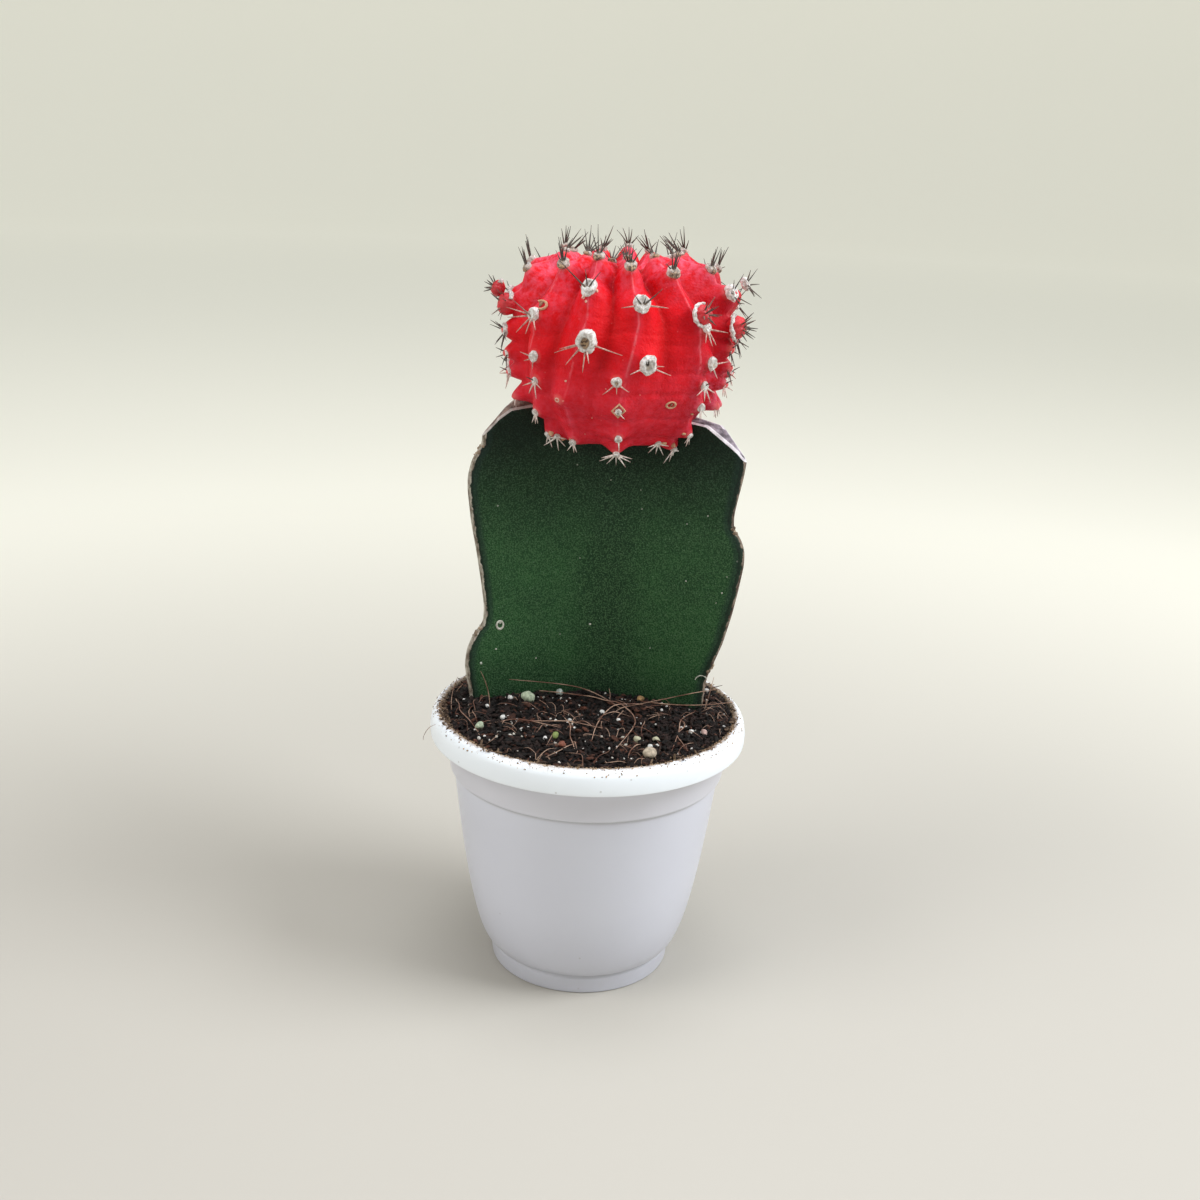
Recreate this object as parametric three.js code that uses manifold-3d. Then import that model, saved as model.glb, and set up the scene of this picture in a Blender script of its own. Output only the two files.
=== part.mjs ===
// Potted moon cactus: a red ribbed globe grafted on a three-winged green stem, which stands in
// coconut-fibre potting mix in a white nursery pot.
// Millimetres, +Z up, the front faces -Y. The origin is the middle of the pot's flat underside.
import * as THREE from "three";
import { mergeVertices } from "three/addons/utils/BufferGeometryUtils.js";
import Module from "manifold-3d";

const wasm = await Module();
wasm.setup();

// Clearance between pieces that touch
const gap = 0.3;

// Pot: moulded wall, foot band with a groove above it, round barrel, collar and turned-down rim
const potSides = 42;
const potWall = 1.25;
const potFloor = 1.6;
const foot = { lowR: 23.2, highR: 23.7, highZ: 4.3, grooveR: 23.1, grooveZ: 5 };
const barrel = { lowR: 23.4, lowZ: 5.4, highR: 33.9, highZ: 53.4, steps: 5 };
const collar = { lowR: 34.9, lowZ: 53.8, highR: 36.1, highZ: 62.5 };
const rim = { innerR: 36.8, outerR: 40, lipR: 38.7, lipZ: 62.8, topZ: 69, underZ: 67.2, edgeZ: 68.5 };
const drain = { count: 4, holeR: 2.6, ringR: 13, sides: 14 };

// Potting mix: level at the pot's wall, mound round the stem, loose crumbs, grains and root fibres
const mix = { edgeR: 36.3, edgeZ: 68.2, mound: 2.7, slopeWidth: 7, frontY: -34, frontRun: 30, crumb: 0.4 };
const crumbCount = 12;
const grainCount = 12;
const largeGrains = [
  { x: -15.3, y: -2.2, r: 1.6 },
  { x: -7.5, y: 2.6, r: 1.2 },
  { x: 13.5, y: 0.6, r: 1.2 },
  { x: 12, y: -22.2, r: 1.2 },
  { x: 16.5, y: -21.9, r: 1 },
  { x: 14.7, y: -28.6, r: 1.9 },
  { x: 15, y: -25.2, r: 1 },
  { x: -26.2, y: -18.3, r: 1.1 },
  { x: -10.1, y: -23.1, r: 0.9 },
];
// Root fibres that lie over the mix: points across the surface and how far the middle arches up
const fibreR = 0.35;
const fibres = [
  { path: [[-9, 2], [-4, 0.5], [3, -2.9], [7.6, -4.5], [11, -9.2], [11.5, -16.5], [6.5, -28.6]], arch: 0.9 },
  { path: [[0.7, -22.2], [2.4, -14.1], [6.2, -7.8], [12.5, -1.5], [19.5, -2.4]], arch: 1.1 },
  { path: [[-6.5, -10.2], [-4.2, -20.2], [-2.7, -30.2]], arch: 0.8 },
  { path: [[-33.2, 1.2], [-30.6, -9.4], [-24.8, -22.3]], arch: 0.8 },
  { path: [[20, -26], [24, -18], [24.6, -11], [30, -8]], arch: 0.9 },
  { path: [[-30, 14], [-20, 19], [-12, 27]], arch: 0.9 },
  { path: [[9, 29], [19, 24], [28, 13]], arch: 1 },
];

// Rootstock: a three-winged stem. reach is how far each wing stands out from the axis, as [height, distance].
// Each of a wing's cuts is a plane: the height and distance that it passes through, its slope outwards, and
// how far it leans to the front.
const stem = { x: 0, y: 14, valley: 7, edge: 1.3, flare: 1.25, rows: 22 };
const stemHeights = { buried: [38, 55], mix: 66, top: 147 };
const wings = [
  {
    turn: 208,
    reach: [
      [38, 27], [55, 31], [66, 33.4], [71, 33.9], [76, 34.9], [80, 35.5], [84, 35], [88, 33.2],
      [90.5, 30.7], [95, 30.5], [102, 31.5], [109, 32.7], [117, 34.3], [125, 35.3], [128.5, 35.3],
      [132.6, 34.2], [134.8, 32.6], [136, 31.7], [147, 31.7],
    ],
    cuts: [[138.2, 31.5, 45, -10], [142.8, 27, 35, 1], [145.2, 22, 11, 14]],
  },
  {
    turn: 330,
    reach: [
      [38, 27], [55, 30.5], [66, 32.3], [70, 32.8], [79, 33.7], [83, 35.2], [89, 37.4], [97, 39.4],
      [103.5, 40.6], [110, 41.6], [113.5, 41.5], [116.5, 40.2], [118.5, 38.2], [122, 38.1], [126.5, 38.9],
      [131.5, 39.9], [136, 40.4], [147, 40.4],
    ],
    cuts: [[135.2, 40.4, 46, -4], [139.6, 36, 35, 18], [142.8, 31, 7, 5]],
  },
  {
    turn: 90,
    reach: [
      [38, 13], [55, 17], [66, 19.5], [71, 20], [80, 22.5], [88, 25.3], [91, 24.2], [97, 25.6],
      [108, 27], [116, 26.2], [119, 24.9], [126, 25.6], [134, 25.2], [147, 25],
    ],
    cuts: [[134, 25.2, 35, 0]],
  },
];

// Scion: the globe's profile from the middle of the crown, over the shoulder, down to the rolled-in foot
const scion = { x: 4, y: 10, columnsPerRib: 5, rows: 26 };
const scionProfile = [
  [0, 176.8], [6, 178.6], [12, 181], [17, 181.6], [22, 178.8], [25.9, 173.8], [28.1, 167.3], [28.3, 161.3],
  [27.4, 154.4], [26.3, 149.2], [23.9, 143.9], [20.4, 139.1], [16, 135.8], [10, 137.4], [0, 141.5],
];
// Depth of the furrows between the ribs and of the notches between areoles, by distance over the surface
const furrowDepth = [[0, 0.3], [8, 2], [18, 4.2], [25, 4.2], [34, 3], [42, 2], [50, 1.1], [72, 0.6], [80, 0]];
const notchDepth = [[0, 0.2], [10, 0.9], [30, 1.2], [44, 1.1], [50, 1.4], [64, 1.6], [73, 2], [80, 0.5]];
const bumpWidth = [[0, 2.6], [26, 3.4], [42, 3.2], [50, 2.5], [66, 2.4], [80, 2.4]];
// Distances from the crown's middle at which a rib's azimuth is given
const turnAt = [22, 36, 56];
// The ribs at the sides and back stand out at their areoles and are notched between them
const lobes = { from: 26, fade: 10, to: 74, out: 1.2, notch: 1.3, narrow: 0.85 };
// A knob that stands out beside the right-hand offset
const knob = { turn: 76, at: 32, out: 5.6, wide: 4.2 };
// Each front rib: azimuths in degrees (0 to the front, + to the right), the distances of its areoles
// from the crown's middle, and how far some of them lie beside the crest, in degrees
const frontRibs = [
  { turn: [-40, -46, -52], areoles: [14, 22.7, 35.9, 45.5, 51.2, 59.8, 66.6], aside: [0, 0, 0, 4, 5, 0, 0] },
  { turn: [-19, -17, -30], areoles: [9, 18.5, 28.5, 40.4, 55.2, 67.6], aside: [0, 0, 0, 4, -3, -1] },
  {
    turn: [4, 8, 0],
    areoles: [12, 21.7, 31.7, 45.2, 49.4, 56.6, 64.7, 71],
    aside: [0, 0, 2.3, 8.4, -4, 0, 1, 0],
  },
  {
    turn: [29, 39, 47],
    areoles: [15, 23.7, 37.2, 45.6, 50.8, 56.4, 65, 70.5],
    aside: [0, 0, 3.5, 6, 1.5, 1.5, 6, 4],
  },
];
// The other ribs share the rest of the circle evenly. Their areoles lie at these distances, give or take the
// jitter, and every second rib has its upper ones a little lower. Those of the two ribs at the photographed
// outline are given one by one.
const sideRibs = {
  count: 9,
  areoles: [14, 24, 34, 43.5, 51, 59, 69],
  jitter: 1.1,
  sway: 3,
  stagger: 4,
  upper: 43,
  seen: { 1: [14, 23.5, 30.5, 38.5, 43, 47.5, 51.5, 57], 9: [15, 25.5, 34.5, 41, 46.5, 51, 57] },
};
// Spines by zone: last distance of the zone, directions round the areole (0 to the crown), rise from the
// surface, length and radius at the root
const spineZones = [
  { to: 27, turns: [-30, 0, 32], rise: 54, length: 5.4, r: 0.34 },
  { to: 43, turns: [-92, 96, -152, 166], rise: 22, length: 6.8, r: 0.34 },
  { to: 54, turns: [-112, 108, 176], rise: 27, length: 5.4, r: 0.32 },
  { to: 69, turns: [-140, 150], rise: 34, length: 3, r: 0.28 },
  { to: 90, turns: [-78, -130, 140, 82], rise: 24, length: 4.6, r: 0.28 },
];
const spineRoot = 1.1;
const woolZones = [
  { to: 27, r: 1.7, rise: 0.9 },
  { to: 43, r: 2.3, rise: 1.2 },
  { to: 54, r: 1.6, rise: 0.9 },
  { to: 90, r: 1.2, rise: 0.7 },
];
// Offsets: small globes that grow out of an areole, as azimuth, distance from the crown's middle and radius
const pups = [
  { turn: 40, at: 34.4, r: 2.6 },
  { turn: 66, at: 38, r: 3 },
  { turn: -74, at: 35, r: 3.3 },
  { turn: -78, at: 30.4, r: 2.1 },
  { turn: 150, at: 36, r: 3 },
  { turn: -148, at: 39, r: 2.9 },
];
const pupSpines = { count: 5, length: 3.4, r: 0.3, spread: 50 };

const degree = Math.PI / 180;

// Seeded random numbers between 0 and 1, the same on each run
function makeRandom(seed) {
  let state = seed;
  return () => {
    state = (state * 1664525 + 1013904223) % 4294967296;
    return state / 4294967296;
  };
}

// Straight-line value between [place, value] knots
function between(knots, place) {
  if (place <= knots[0][0]) return knots[0][1];
  for (let i = 1; i < knots.length; i++) {
    const [low, from] = knots[i - 1];
    const [high, to] = knots[i];
    if (place <= high) return from + ((to - from) * (place - low)) / (high - low);
  }
  return knots[knots.length - 1][1];
}

function smoothStep(value) {
  const t = Math.min(Math.max(value, 0), 1);
  return t * t * (3 - 2 * t);
}

// The zone of a list that a distance over the globe falls in
function zoneAt(zones, distance) {
  return zones.find((zone) => distance < zone.to);
}

// A closed geometry as a solid that can be joined and cut
function solidOf(geometry) {
  const bare = geometry.clone();
  bare.deleteAttribute("normal");
  bare.deleteAttribute("uv");
  const merged = mergeVertices(bare, 1e-4);
  return new wasm.Manifold(
    new wasm.Mesh({
      numProp: 3,
      vertProperties: new Float32Array(merged.attributes.position.array),
      triVerts: new Uint32Array(merged.index.array),
    }),
  );
}

function geometryOf(solid) {
  const mesh = solid.getMesh();
  const geometry = new THREE.BufferGeometry();
  geometry.setAttribute("position", new THREE.BufferAttribute(new Float32Array(mesh.vertProperties), 3));
  geometry.setIndex(new THREE.BufferAttribute(new Uint32Array(mesh.triVerts), 1));
  geometry.computeVertexNormals();
  return geometry;
}

// The largest body of a solid, without loose scraps that a cut leaves
function mainBody(solid) {
  const bodies = solid.decompose();
  return bodies.reduce((best, body) => (body.volume() > best.volume() ? body : best));
}

// A closed skin over rings of points, which run counter-clockwise from the lowest ring to the highest
function skin(rings, lowCentre, highCentre) {
  const count = rings[0].length;
  const points = [...rings.flat(), lowCentre, highCentre];
  const low = points.length - 2;
  const high = points.length - 1;
  const last = (rings.length - 1) * count;
  const faces = [];
  for (let i = 0; i < count; i++) {
    const next = (i + 1) % count;
    faces.push(low, next, i);
    faces.push(high, last + i, last + next);
    for (let row = 0; row < last; row += count) {
      faces.push(row + i, row + next, row + count + next);
      faces.push(row + i, row + count + next, row + count + i);
    }
  }
  const geometry = new THREE.BufferGeometry().setFromPoints(points);
  geometry.setIndex(faces);
  return geometry;
}

// A body of revolution about Z from [radius, height] points that start and end on the axis
function turned(points, sides) {
  const profile = points.map(([r, z]) => new THREE.Vector2(r, z));
  return new THREE.LatheGeometry(profile, sides).rotateX(Math.PI / 2);
}

// Pot

// Barrel radius and height: t runs from the groove (0) to the step under the collar (1)
function barrelAt(t, inset) {
  return [
    barrel.lowR + (barrel.highR - barrel.lowR) * t - inset,
    barrel.lowZ + (barrel.highZ - barrel.lowZ) * t * t,
  ];
}

// Inside of the pot from the rim's inner edge down to the floor, moved in by inset
function potInside(inset) {
  return [
    [collar.highR - 0.5 - inset, collar.highZ + 2.5],
    [barrel.highR - potWall - inset, barrel.highZ - 0.4],
    ...[0.6, 0.35, 0.15].map((t) => barrelAt(t, potWall + inset)),
    [foot.highR - 2 - inset, foot.highZ - 0.1],
    [foot.lowR - 2.3 - inset, potFloor + inset],
  ];
}

function makePot() {
  const outside = [];
  for (let i = 0; i <= barrel.steps; i++) outside.push(barrelAt(i / barrel.steps, 0));
  const profile = [
    [0, 0],
    [foot.lowR, 0],
    [foot.highR, foot.highZ],
    [foot.grooveR, foot.grooveZ],
    ...outside,
    [collar.lowR, collar.lowZ],
    [collar.highR, collar.highZ],
    [rim.lipR - 0.9, rim.underZ],
    [rim.lipR, rim.lipZ],
    [rim.outerR - 0.1, rim.lipZ],
    [rim.outerR, rim.lipZ + 2.2],
    [rim.outerR - 0.5, rim.topZ - 1.2],
    [rim.outerR - 1.6, rim.topZ],
    [rim.innerR + 0.5, rim.topZ],
    [rim.innerR, rim.edgeZ],
    ...potInside(0),
    [0, potFloor],
  ];
  const holes = [];
  for (let i = 0; i < drain.count; i++) {
    const turn = ((i + 0.5) * 2 * Math.PI) / drain.count;
    const hole = new THREE.CylinderGeometry(drain.holeR, drain.holeR, 4 * potFloor, drain.sides);
    hole.rotateX(Math.PI / 2).translate(drain.ringR * Math.cos(turn), drain.ringR * Math.sin(turn), 0);
    holes.push(solidOf(hole));
  }
  return solidOf(turned(profile, potSides)).subtract(wasm.Manifold.union(holes));
}

// Rootstock

// Half thickness of a wing at a distance from the axis: concave flanks between the valleys and the edge
function wingHalf(distance, reach) {
  const start = stem.valley / 2;
  const full = stem.valley * Math.cos(30 * degree);
  const inward = Math.min(Math.max((reach - distance) / (reach - start), 0), 1);
  return stem.edge + (full - stem.edge) * inward ** stem.flare;
}

// The stem's outline at a height, made thicker all round by grow
function stemRing(z, grow) {
  const ring = [];
  for (const wing of [wings[2], wings[0], wings[1]]) {
    const reach = between(wing.reach, z);
    const start = stem.valley / 2;
    const along = [0.25, 0.5, 0.75].map((t) => start + (reach - 1.2 - start) * t);
    const flank = [
      ...along.map((u) => [u, wingHalf(u, reach) + grow]),
      [reach - 1.2 + grow / 2, stem.edge + grow],
      [reach - 0.3 + grow, 0.75 + grow / 2],
    ];
    const back = [...flank].reverse().map(([u, v]) => [u, v]);
    const outline = [
      [start + grow / 2, -stem.valley * Math.cos(30 * degree) - grow],
      ...flank.map(([u, v]) => [u, -v]),
      [reach + grow, 0],
      ...back,
    ];
    const cos = Math.cos(wing.turn * degree);
    const sin = Math.sin(wing.turn * degree);
    for (const [u, v] of outline)
      ring.push(new THREE.Vector3(stem.x + u * cos - v * sin, stem.y + u * sin + v * cos, z));
  }
  return ring;
}

// Everything above a sloping plane, to cut a bevel as the grafting knife does
function aboveKnife(point, normal) {
  const block = new THREE.BoxGeometry(160, 160, 60).translate(0, 0, 30);
  block.applyQuaternion(new THREE.Quaternion().setFromUnitVectors(new THREE.Vector3(0, 0, 1), normal));
  return solidOf(block.translate(point.x, point.y, point.z));
}

// A length of the stem through the given heights; grow makes it larger all round
function stemLength(heights, grow) {
  const low = new THREE.Vector3(stem.x, stem.y, heights[0]);
  const high = new THREE.Vector3(stem.x, stem.y, heights[heights.length - 1]);
  return solidOf(skin(heights.map((z) => stemRing(z, grow)), low, high));
}

// The stem with its flat top and three bevels
function makeStem(grow) {
  const heights = [...stemHeights.buried, stemHeights.mix];
  for (let row = 1; row < stem.rows; row++)
    heights.push(stemHeights.mix + ((stemHeights.top - stemHeights.mix) * row) / stem.rows);
  heights.push(stemHeights.top + grow);
  const strokes = wings.flatMap(({ turn, cuts }) => {
    const out = new THREE.Vector3(Math.cos(turn * degree), Math.sin(turn * degree), 0);
    const front = new THREE.Vector3(out.y, -out.x, 0).multiplyScalar(Math.sign(out.x));
    return cuts.map(([z, reach, slope, lean]) => {
      const normal = out.clone().multiplyScalar(Math.sin(slope * degree));
      normal.z = Math.cos(slope * degree);
      normal.multiplyScalar(Math.cos(lean * degree)).addScaledVector(front, Math.sin(lean * degree));
      const point = new THREE.Vector3(stem.x + reach * out.x, stem.y + reach * out.y, z);
      return aboveKnife(point.addScaledVector(normal, grow), normal);
    });
  });
  return stemLength(heights, grow).subtract(wasm.Manifold.union(strokes));
}

// Potting mix

function mixHeight(x, y) {
  const fromWall = smoothStep((mix.edgeR - Math.hypot(x, y)) / mix.slopeWidth);
  const back = 0.2 + 0.8 * smoothStep((y - mix.frontY) / mix.frontRun);
  return mix.edgeZ + mix.mound * back * fromWall;
}

// A rough grain or crumb, sunk a little under its middle into the mix
function grain(x, y, r, random) {
  const lump = r > 1.1 ? new THREE.IcosahedronGeometry(r, 0) : new THREE.OctahedronGeometry(r, 0);
  lump.scale(1, 0.75 + 0.3 * random(), 0.7 + 0.2 * random()).rotateZ(random() * Math.PI);
  return solidOf(lump.translate(x, y, mixHeight(x, y) + 0.25 * r));
}

function fibre({ path, arch }) {
  const last = path.length - 1;
  const points = path.map(([x, y], i) => {
    const end = i === 0 || i === last;
    const rise = end ? -0.9 : arch * (0.6 + 0.4 * Math.sin((Math.PI * i) / last));
    return new THREE.Vector3(x, y, mixHeight(x, y) + rise);
  });
  const section = new THREE.Shape();
  for (let i = 0; i < 3; i++) {
    const turn = (i * 2 * Math.PI) / 3;
    section[i ? "lineTo" : "moveTo"](fibreR * Math.cos(turn), fibreR * Math.sin(turn));
  }
  const steps = 3 * last;
  const curve = new THREE.CatmullRomCurve3(points);
  return solidOf(new THREE.ExtrudeGeometry(section, { steps, extrudePath: curve, bevelEnabled: false }));
}

function makeMix() {
  const random = makeRandom(7);
  const [footZ, ...higher] = stemHeights.buried;
  const hole = stemLength([footZ - gap, ...higher, stemHeights.mix, stemHeights.mix + 14], gap);
  const inside = potInside(gap).reverse();
  const around = (r, z) => {
    const ring = [];
    for (let i = 0; i < potSides; i++) {
      const turn = (i * 2 * Math.PI) / potSides;
      const x = r * Math.sin(turn);
      const y = -r * Math.cos(turn);
      ring.push(new THREE.Vector3(x, y, z ?? mixHeight(x, y) + mix.crumb * (2 * random() - 1)));
    }
    return ring;
  };
  const rings = [...inside.map(([r, z]) => around(r, z)), around(mix.edgeR, mix.edgeZ)];
  for (const r of [34, 30.5, 26, 20, 12]) rings.push(around(r));
  const base = new THREE.Vector3(0, 0, inside[0][1]);
  const middle = new THREE.Vector3(0, 0, mixHeight(0, 0));
  const pieces = [solidOf(skin(rings, base, middle))];
  for (let i = 0; i < crumbCount + grainCount; i++) {
    const r = 33.2 * Math.sqrt(random());
    const turn = random() * 2 * Math.PI;
    const size = i < crumbCount ? 0.8 + 0.6 * random() : 0.6 + 0.4 * random();
    pieces.push(grain(r * Math.cos(turn), r * Math.sin(turn), size, random));
  }
  for (const { x, y, r } of largeGrains) pieces.push(grain(x, y, r, random));
  for (const one of fibres) pieces.push(fibre(one));
  return mainBody(wasm.Manifold.union(pieces).subtract(hole));
}

// Scion

const profileCurve = new THREE.SplineCurve(scionProfile.map(([r, z]) => new THREE.Vector2(r, z)));
profileCurve.arcLengthDivisions = 800;
const profileLength = profileCurve.getLength();

// Ribs in order round the globe, each with its azimuths and areoles
function makeRibs() {
  const random = makeRandom(21);
  const from = frontRibs[3].turn[1];
  const pitch = (frontRibs[0].turn[1] + 360 - from) / (sideRibs.count + 1);
  const ribs = frontRibs.map((rib) => ({ ...rib }));
  for (let i = 1; i <= sideRibs.count; i++) {
    const middle = from + pitch * i;
    const turn = [middle, middle, middle + sideRibs.sway * (2 * random() - 1)];
    const spread = sideRibs.areoles.map((at) => {
      const lower = i % 2 && at < sideRibs.upper ? sideRibs.stagger : 0;
      return at + lower + sideRibs.jitter * (2 * random() - 1);
    });
    const areoles = sideRibs.seen[i] ?? spread;
    const aside = areoles.map(() => sideRibs.sway * (random() - 0.5));
    ribs.push({ turn, areoles, aside });
  }
  return ribs;
}

const ribs = makeRibs();

// Azimuth of a rib at a distance from the crown's middle
function ribTurn(rib, distance) {
  return between(turnAt.map((at, i) => [at, rib.turn[i]]), distance);
}

const areoles = ribs.flatMap((rib) =>
  rib.areoles.map((at, i) => ({ at, turn: ribTurn(rib, at) + rib.aside[i] })),
);

// Point, outward normal and upward direction of the plain profile, turned to an azimuth
function profileAt(distance, turn) {
  const t = Math.min(Math.max(distance / profileLength, 0), 1);
  const flat = profileCurve.getPointAt(t);
  const slope = profileCurve.getTangentAt(t);
  const sin = Math.sin(turn * degree);
  const cos = Math.cos(turn * degree);
  const around = (r, z) => new THREE.Vector3(r * sin, -r * cos, z);
  return {
    r: flat.x,
    point: around(flat.x, flat.y).add(new THREE.Vector3(scion.x, scion.y, 0)),
    normal: around(-slope.y, slope.x),
    up: around(-slope.x, -slope.y),
    right: new THREE.Vector3(cos, sin, 0),
  };
}

// How far the surface lies under the profile: furrows between ribs, notches between areoles, and the lobes of
// the side ribs, where onSide is how much of the rib is a side rib's
function relief(distance, turn, across, onSide, r) {
  const awayFrom = (spot, width) => {
    const aside = ((((spot.turn - turn) % 360) + 540) % 360) - 180;
    return Math.hypot(spot.at - distance, aside * degree * r) / width;
  };
  const fromCrest = 2 * Math.min(across, 1 - across);
  const start = smoothStep((distance - lobes.from) / lobes.fade);
  const lobe = onSide * start * smoothStep((lobes.to - distance) / lobes.fade);
  let bump = 0;
  const width = between(bumpWidth, distance) * (1 - (1 - lobes.narrow) * lobe);
  for (const areole of areoles) {
    const away = awayFrom(areole, width);
    if (away < 3) bump = Math.max(bump, Math.exp(-away * away));
  }
  const furrow = between(furrowDepth, distance) * fromCrest ** 1.3;
  const hollow = (furrow + between(notchDepth, distance)) * (1 - bump);
  const lobed = hollow + lobe * (lobes.notch * (1 - bump) - lobes.out * bump);
  return lobed - knob.out * Math.exp(-(awayFrom(knob, knob.wide) ** 2));
}

function scionBody() {
  const rings = [];
  for (let row = scion.rows - 1; row > 0; row--) {
    const distance = (profileLength * row) / scion.rows;
    const ring = [];
    for (let i = 0; i < ribs.length; i++) {
      const sideHere = i >= frontRibs.length ? 1 : 0;
      const sideNext = (i + 1) % ribs.length >= frontRibs.length ? 1 : 0;
      const from = ribTurn(ribs[i], distance);
      const to = ribTurn(ribs[(i + 1) % ribs.length], distance) + (i + 1 === ribs.length ? 360 : 0);
      for (let step = 0; step < scion.columnsPerRib; step++) {
        const across = step / scion.columnsPerRib;
        const turn = from + (to - from) * across;
        const place = profileAt(distance, turn);
        const onSide = sideHere + (sideNext - sideHere) * across;
        const under = relief(distance, turn, across, onSide, place.r);
        ring.push(place.point.addScaledVector(place.normal, -under));
      }
    }
    rings.push(ring);
  }
  const foot = new THREE.Vector3(scion.x, scion.y, scionProfile[scionProfile.length - 1][1]);
  const crown = new THREE.Vector3(scion.x, scion.y, scionProfile[0][1] - 0.4);
  return solidOf(skin(rings, foot, crown));
}

// A three-sided spine whose root is sunk into what it grows from
function spine(root, direction, length, r) {
  const cone = new THREE.ConeGeometry(r, length + spineRoot, 3).translate(0, (length - spineRoot) / 2, 0);
  cone.applyQuaternion(new THREE.Quaternion().setFromUnitVectors(new THREE.Vector3(0, 1, 0), direction));
  return solidOf(cone.translate(root.x, root.y, root.z));
}

// Direction given by a turn round the areole from the crownward side and a rise from the surface
function spineDirection(place, turn, rise) {
  return place.up
    .clone()
    .multiplyScalar(Math.cos(turn * degree) * Math.cos(rise * degree))
    .addScaledVector(place.right, Math.sin(turn * degree) * Math.cos(rise * degree))
    .addScaledVector(place.normal, Math.sin(rise * degree));
}

// Wool cushion and spines of one areole
function areoleSolids({ at, turn }, random) {
  const place = profileAt(at, turn);
  const wool = zoneAt(woolZones, at);
  const cushion = new THREE.OctahedronGeometry(1, 0).scale(wool.r, wool.r * 1.15, wool.rise);
  const basis = new THREE.Matrix4().makeBasis(place.right, place.up, place.normal);
  cushion.applyMatrix4(basis).translate(place.point.x, place.point.y, place.point.z);
  const solids = [solidOf(cushion)];
  const zone = zoneAt(spineZones, at);
  for (const around of zone.turns) {
    const turned = around + 16 * (random() - 0.5);
    const root = place.point.clone().addScaledVector(spineDirection(place, turned, 0), 0.5 * wool.r);
    const direction = spineDirection(place, turned, zone.rise + 14 * (random() - 0.5));
    solids.push(spine(root, direction, zone.length * (0.8 + 0.4 * random()), zone.r));
  }
  return solids;
}

function pupSolids({ turn, at, r }, random) {
  const place = profileAt(at, turn);
  const middle = place.point.clone().addScaledVector(place.normal, 0.3 * r);
  const globe = new THREE.IcosahedronGeometry(r, 1).scale(1, 1, 0.92).translate(middle.x, middle.y, middle.z);
  const solids = [solidOf(globe)];
  const tip = middle.clone().addScaledVector(place.normal, 0.9 * r);
  for (let i = 0; i < pupSpines.count; i++) {
    const around = (360 * i) / pupSpines.count + 30 * random();
    const root = tip.clone().addScaledVector(spineDirection(place, around, 0), 0.3 * r);
    const direction = spineDirection(place, around, 90 - pupSpines.spread);
    solids.push(spine(root, direction, pupSpines.length * (0.75 + 0.4 * random()), pupSpines.r));
  }
  return solids;
}

function makeScion() {
  const random = makeRandom(3);
  const grown = [
    ...areoles.flatMap((areole) => areoleSolids(areole, random)),
    ...pups.flatMap((pup) => pupSolids(pup, random)),
  ];
  return mainBody(wasm.Manifold.union([scionBody(), ...grown]).subtract(makeStem(gap)));
}

// Assembly

const plant = new THREE.Group();

function addPart(name, solid, finish) {
  const mesh = new THREE.Mesh(geometryOf(solid), new THREE.MeshStandardMaterial(finish));
  mesh.name = name;
  plant.add(mesh);
}

addPart("pot", makePot(), { color: 0xeef1f7, roughness: 0.25, metalness: 0 });
addPart("potting_mix", makeMix(), { color: 0x2e1a12, roughness: 1, metalness: 0 });
addPart("rootstock", makeStem(0), { color: 0x1c3f22, roughness: 0.5, metalness: 0 });
addPart("scion", makeScion(), { color: 0xd81f26, roughness: 0.45, metalness: 0 });

export default plant;
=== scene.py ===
import math
from bisect import bisect_right

import bmesh
import bpy
from mathutils import Matrix, Vector, noise
from mathutils.bvhtree import BVHTree


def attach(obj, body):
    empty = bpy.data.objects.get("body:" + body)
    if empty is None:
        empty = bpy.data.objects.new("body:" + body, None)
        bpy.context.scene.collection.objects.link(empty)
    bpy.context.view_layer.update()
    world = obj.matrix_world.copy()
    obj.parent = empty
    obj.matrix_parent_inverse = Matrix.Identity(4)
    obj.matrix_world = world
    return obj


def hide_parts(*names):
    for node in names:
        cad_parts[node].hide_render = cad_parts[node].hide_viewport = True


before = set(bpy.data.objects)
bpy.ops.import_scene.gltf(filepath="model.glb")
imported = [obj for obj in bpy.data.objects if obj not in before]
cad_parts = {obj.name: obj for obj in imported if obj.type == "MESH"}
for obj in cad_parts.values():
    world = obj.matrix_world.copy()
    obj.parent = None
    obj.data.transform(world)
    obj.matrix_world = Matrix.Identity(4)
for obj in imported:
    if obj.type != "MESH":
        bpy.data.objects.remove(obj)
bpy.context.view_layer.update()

# Potted moon cactus: finer pieces for the pot, the potting mix, the rootstock and the scion.
# Meshes are made in millimetres in the frame of the CAD and brought to metres when they are finished.
mm = 0.001
fullTurn = 2 * math.pi
scene = bpy.context.scene
scene.view_settings.view_transform = "Standard"


# Numbers and curves

draws = {"times": 1664525, "plus": 1013904223, "range": 2 ** 32}


def makeRandom(seed):
    state = seed

    def draw(low=0.0, high=1.0):
        nonlocal state
        state = (state * draws["times"] + draws["plus"]) % draws["range"]
        return low + (high - low) * state / draws["range"]

    return draw


def between(knots, place):
    # Straight-line value between (place, value) knots
    if place <= knots[0][0]:
        return knots[0][1]
    for (low, start), (high, end) in zip(knots, knots[1:]):
        if place <= high:
            return start + (end - start) * (place - low) / (high - low)
    return knots[-1][1]


def smoothStep(value):
    t = min(max(value, 0), 1)
    return t * t * (3 - 2 * t)


def roughly(x, y, z, size):
    # Smooth noise from -1 to 1 whose lumps are about size across
    return noise.noise(Vector((x, y, z)) / size)


def polar(r, turn):
    return r * math.cos(turn), r * math.sin(turn)


# Meshes

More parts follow.
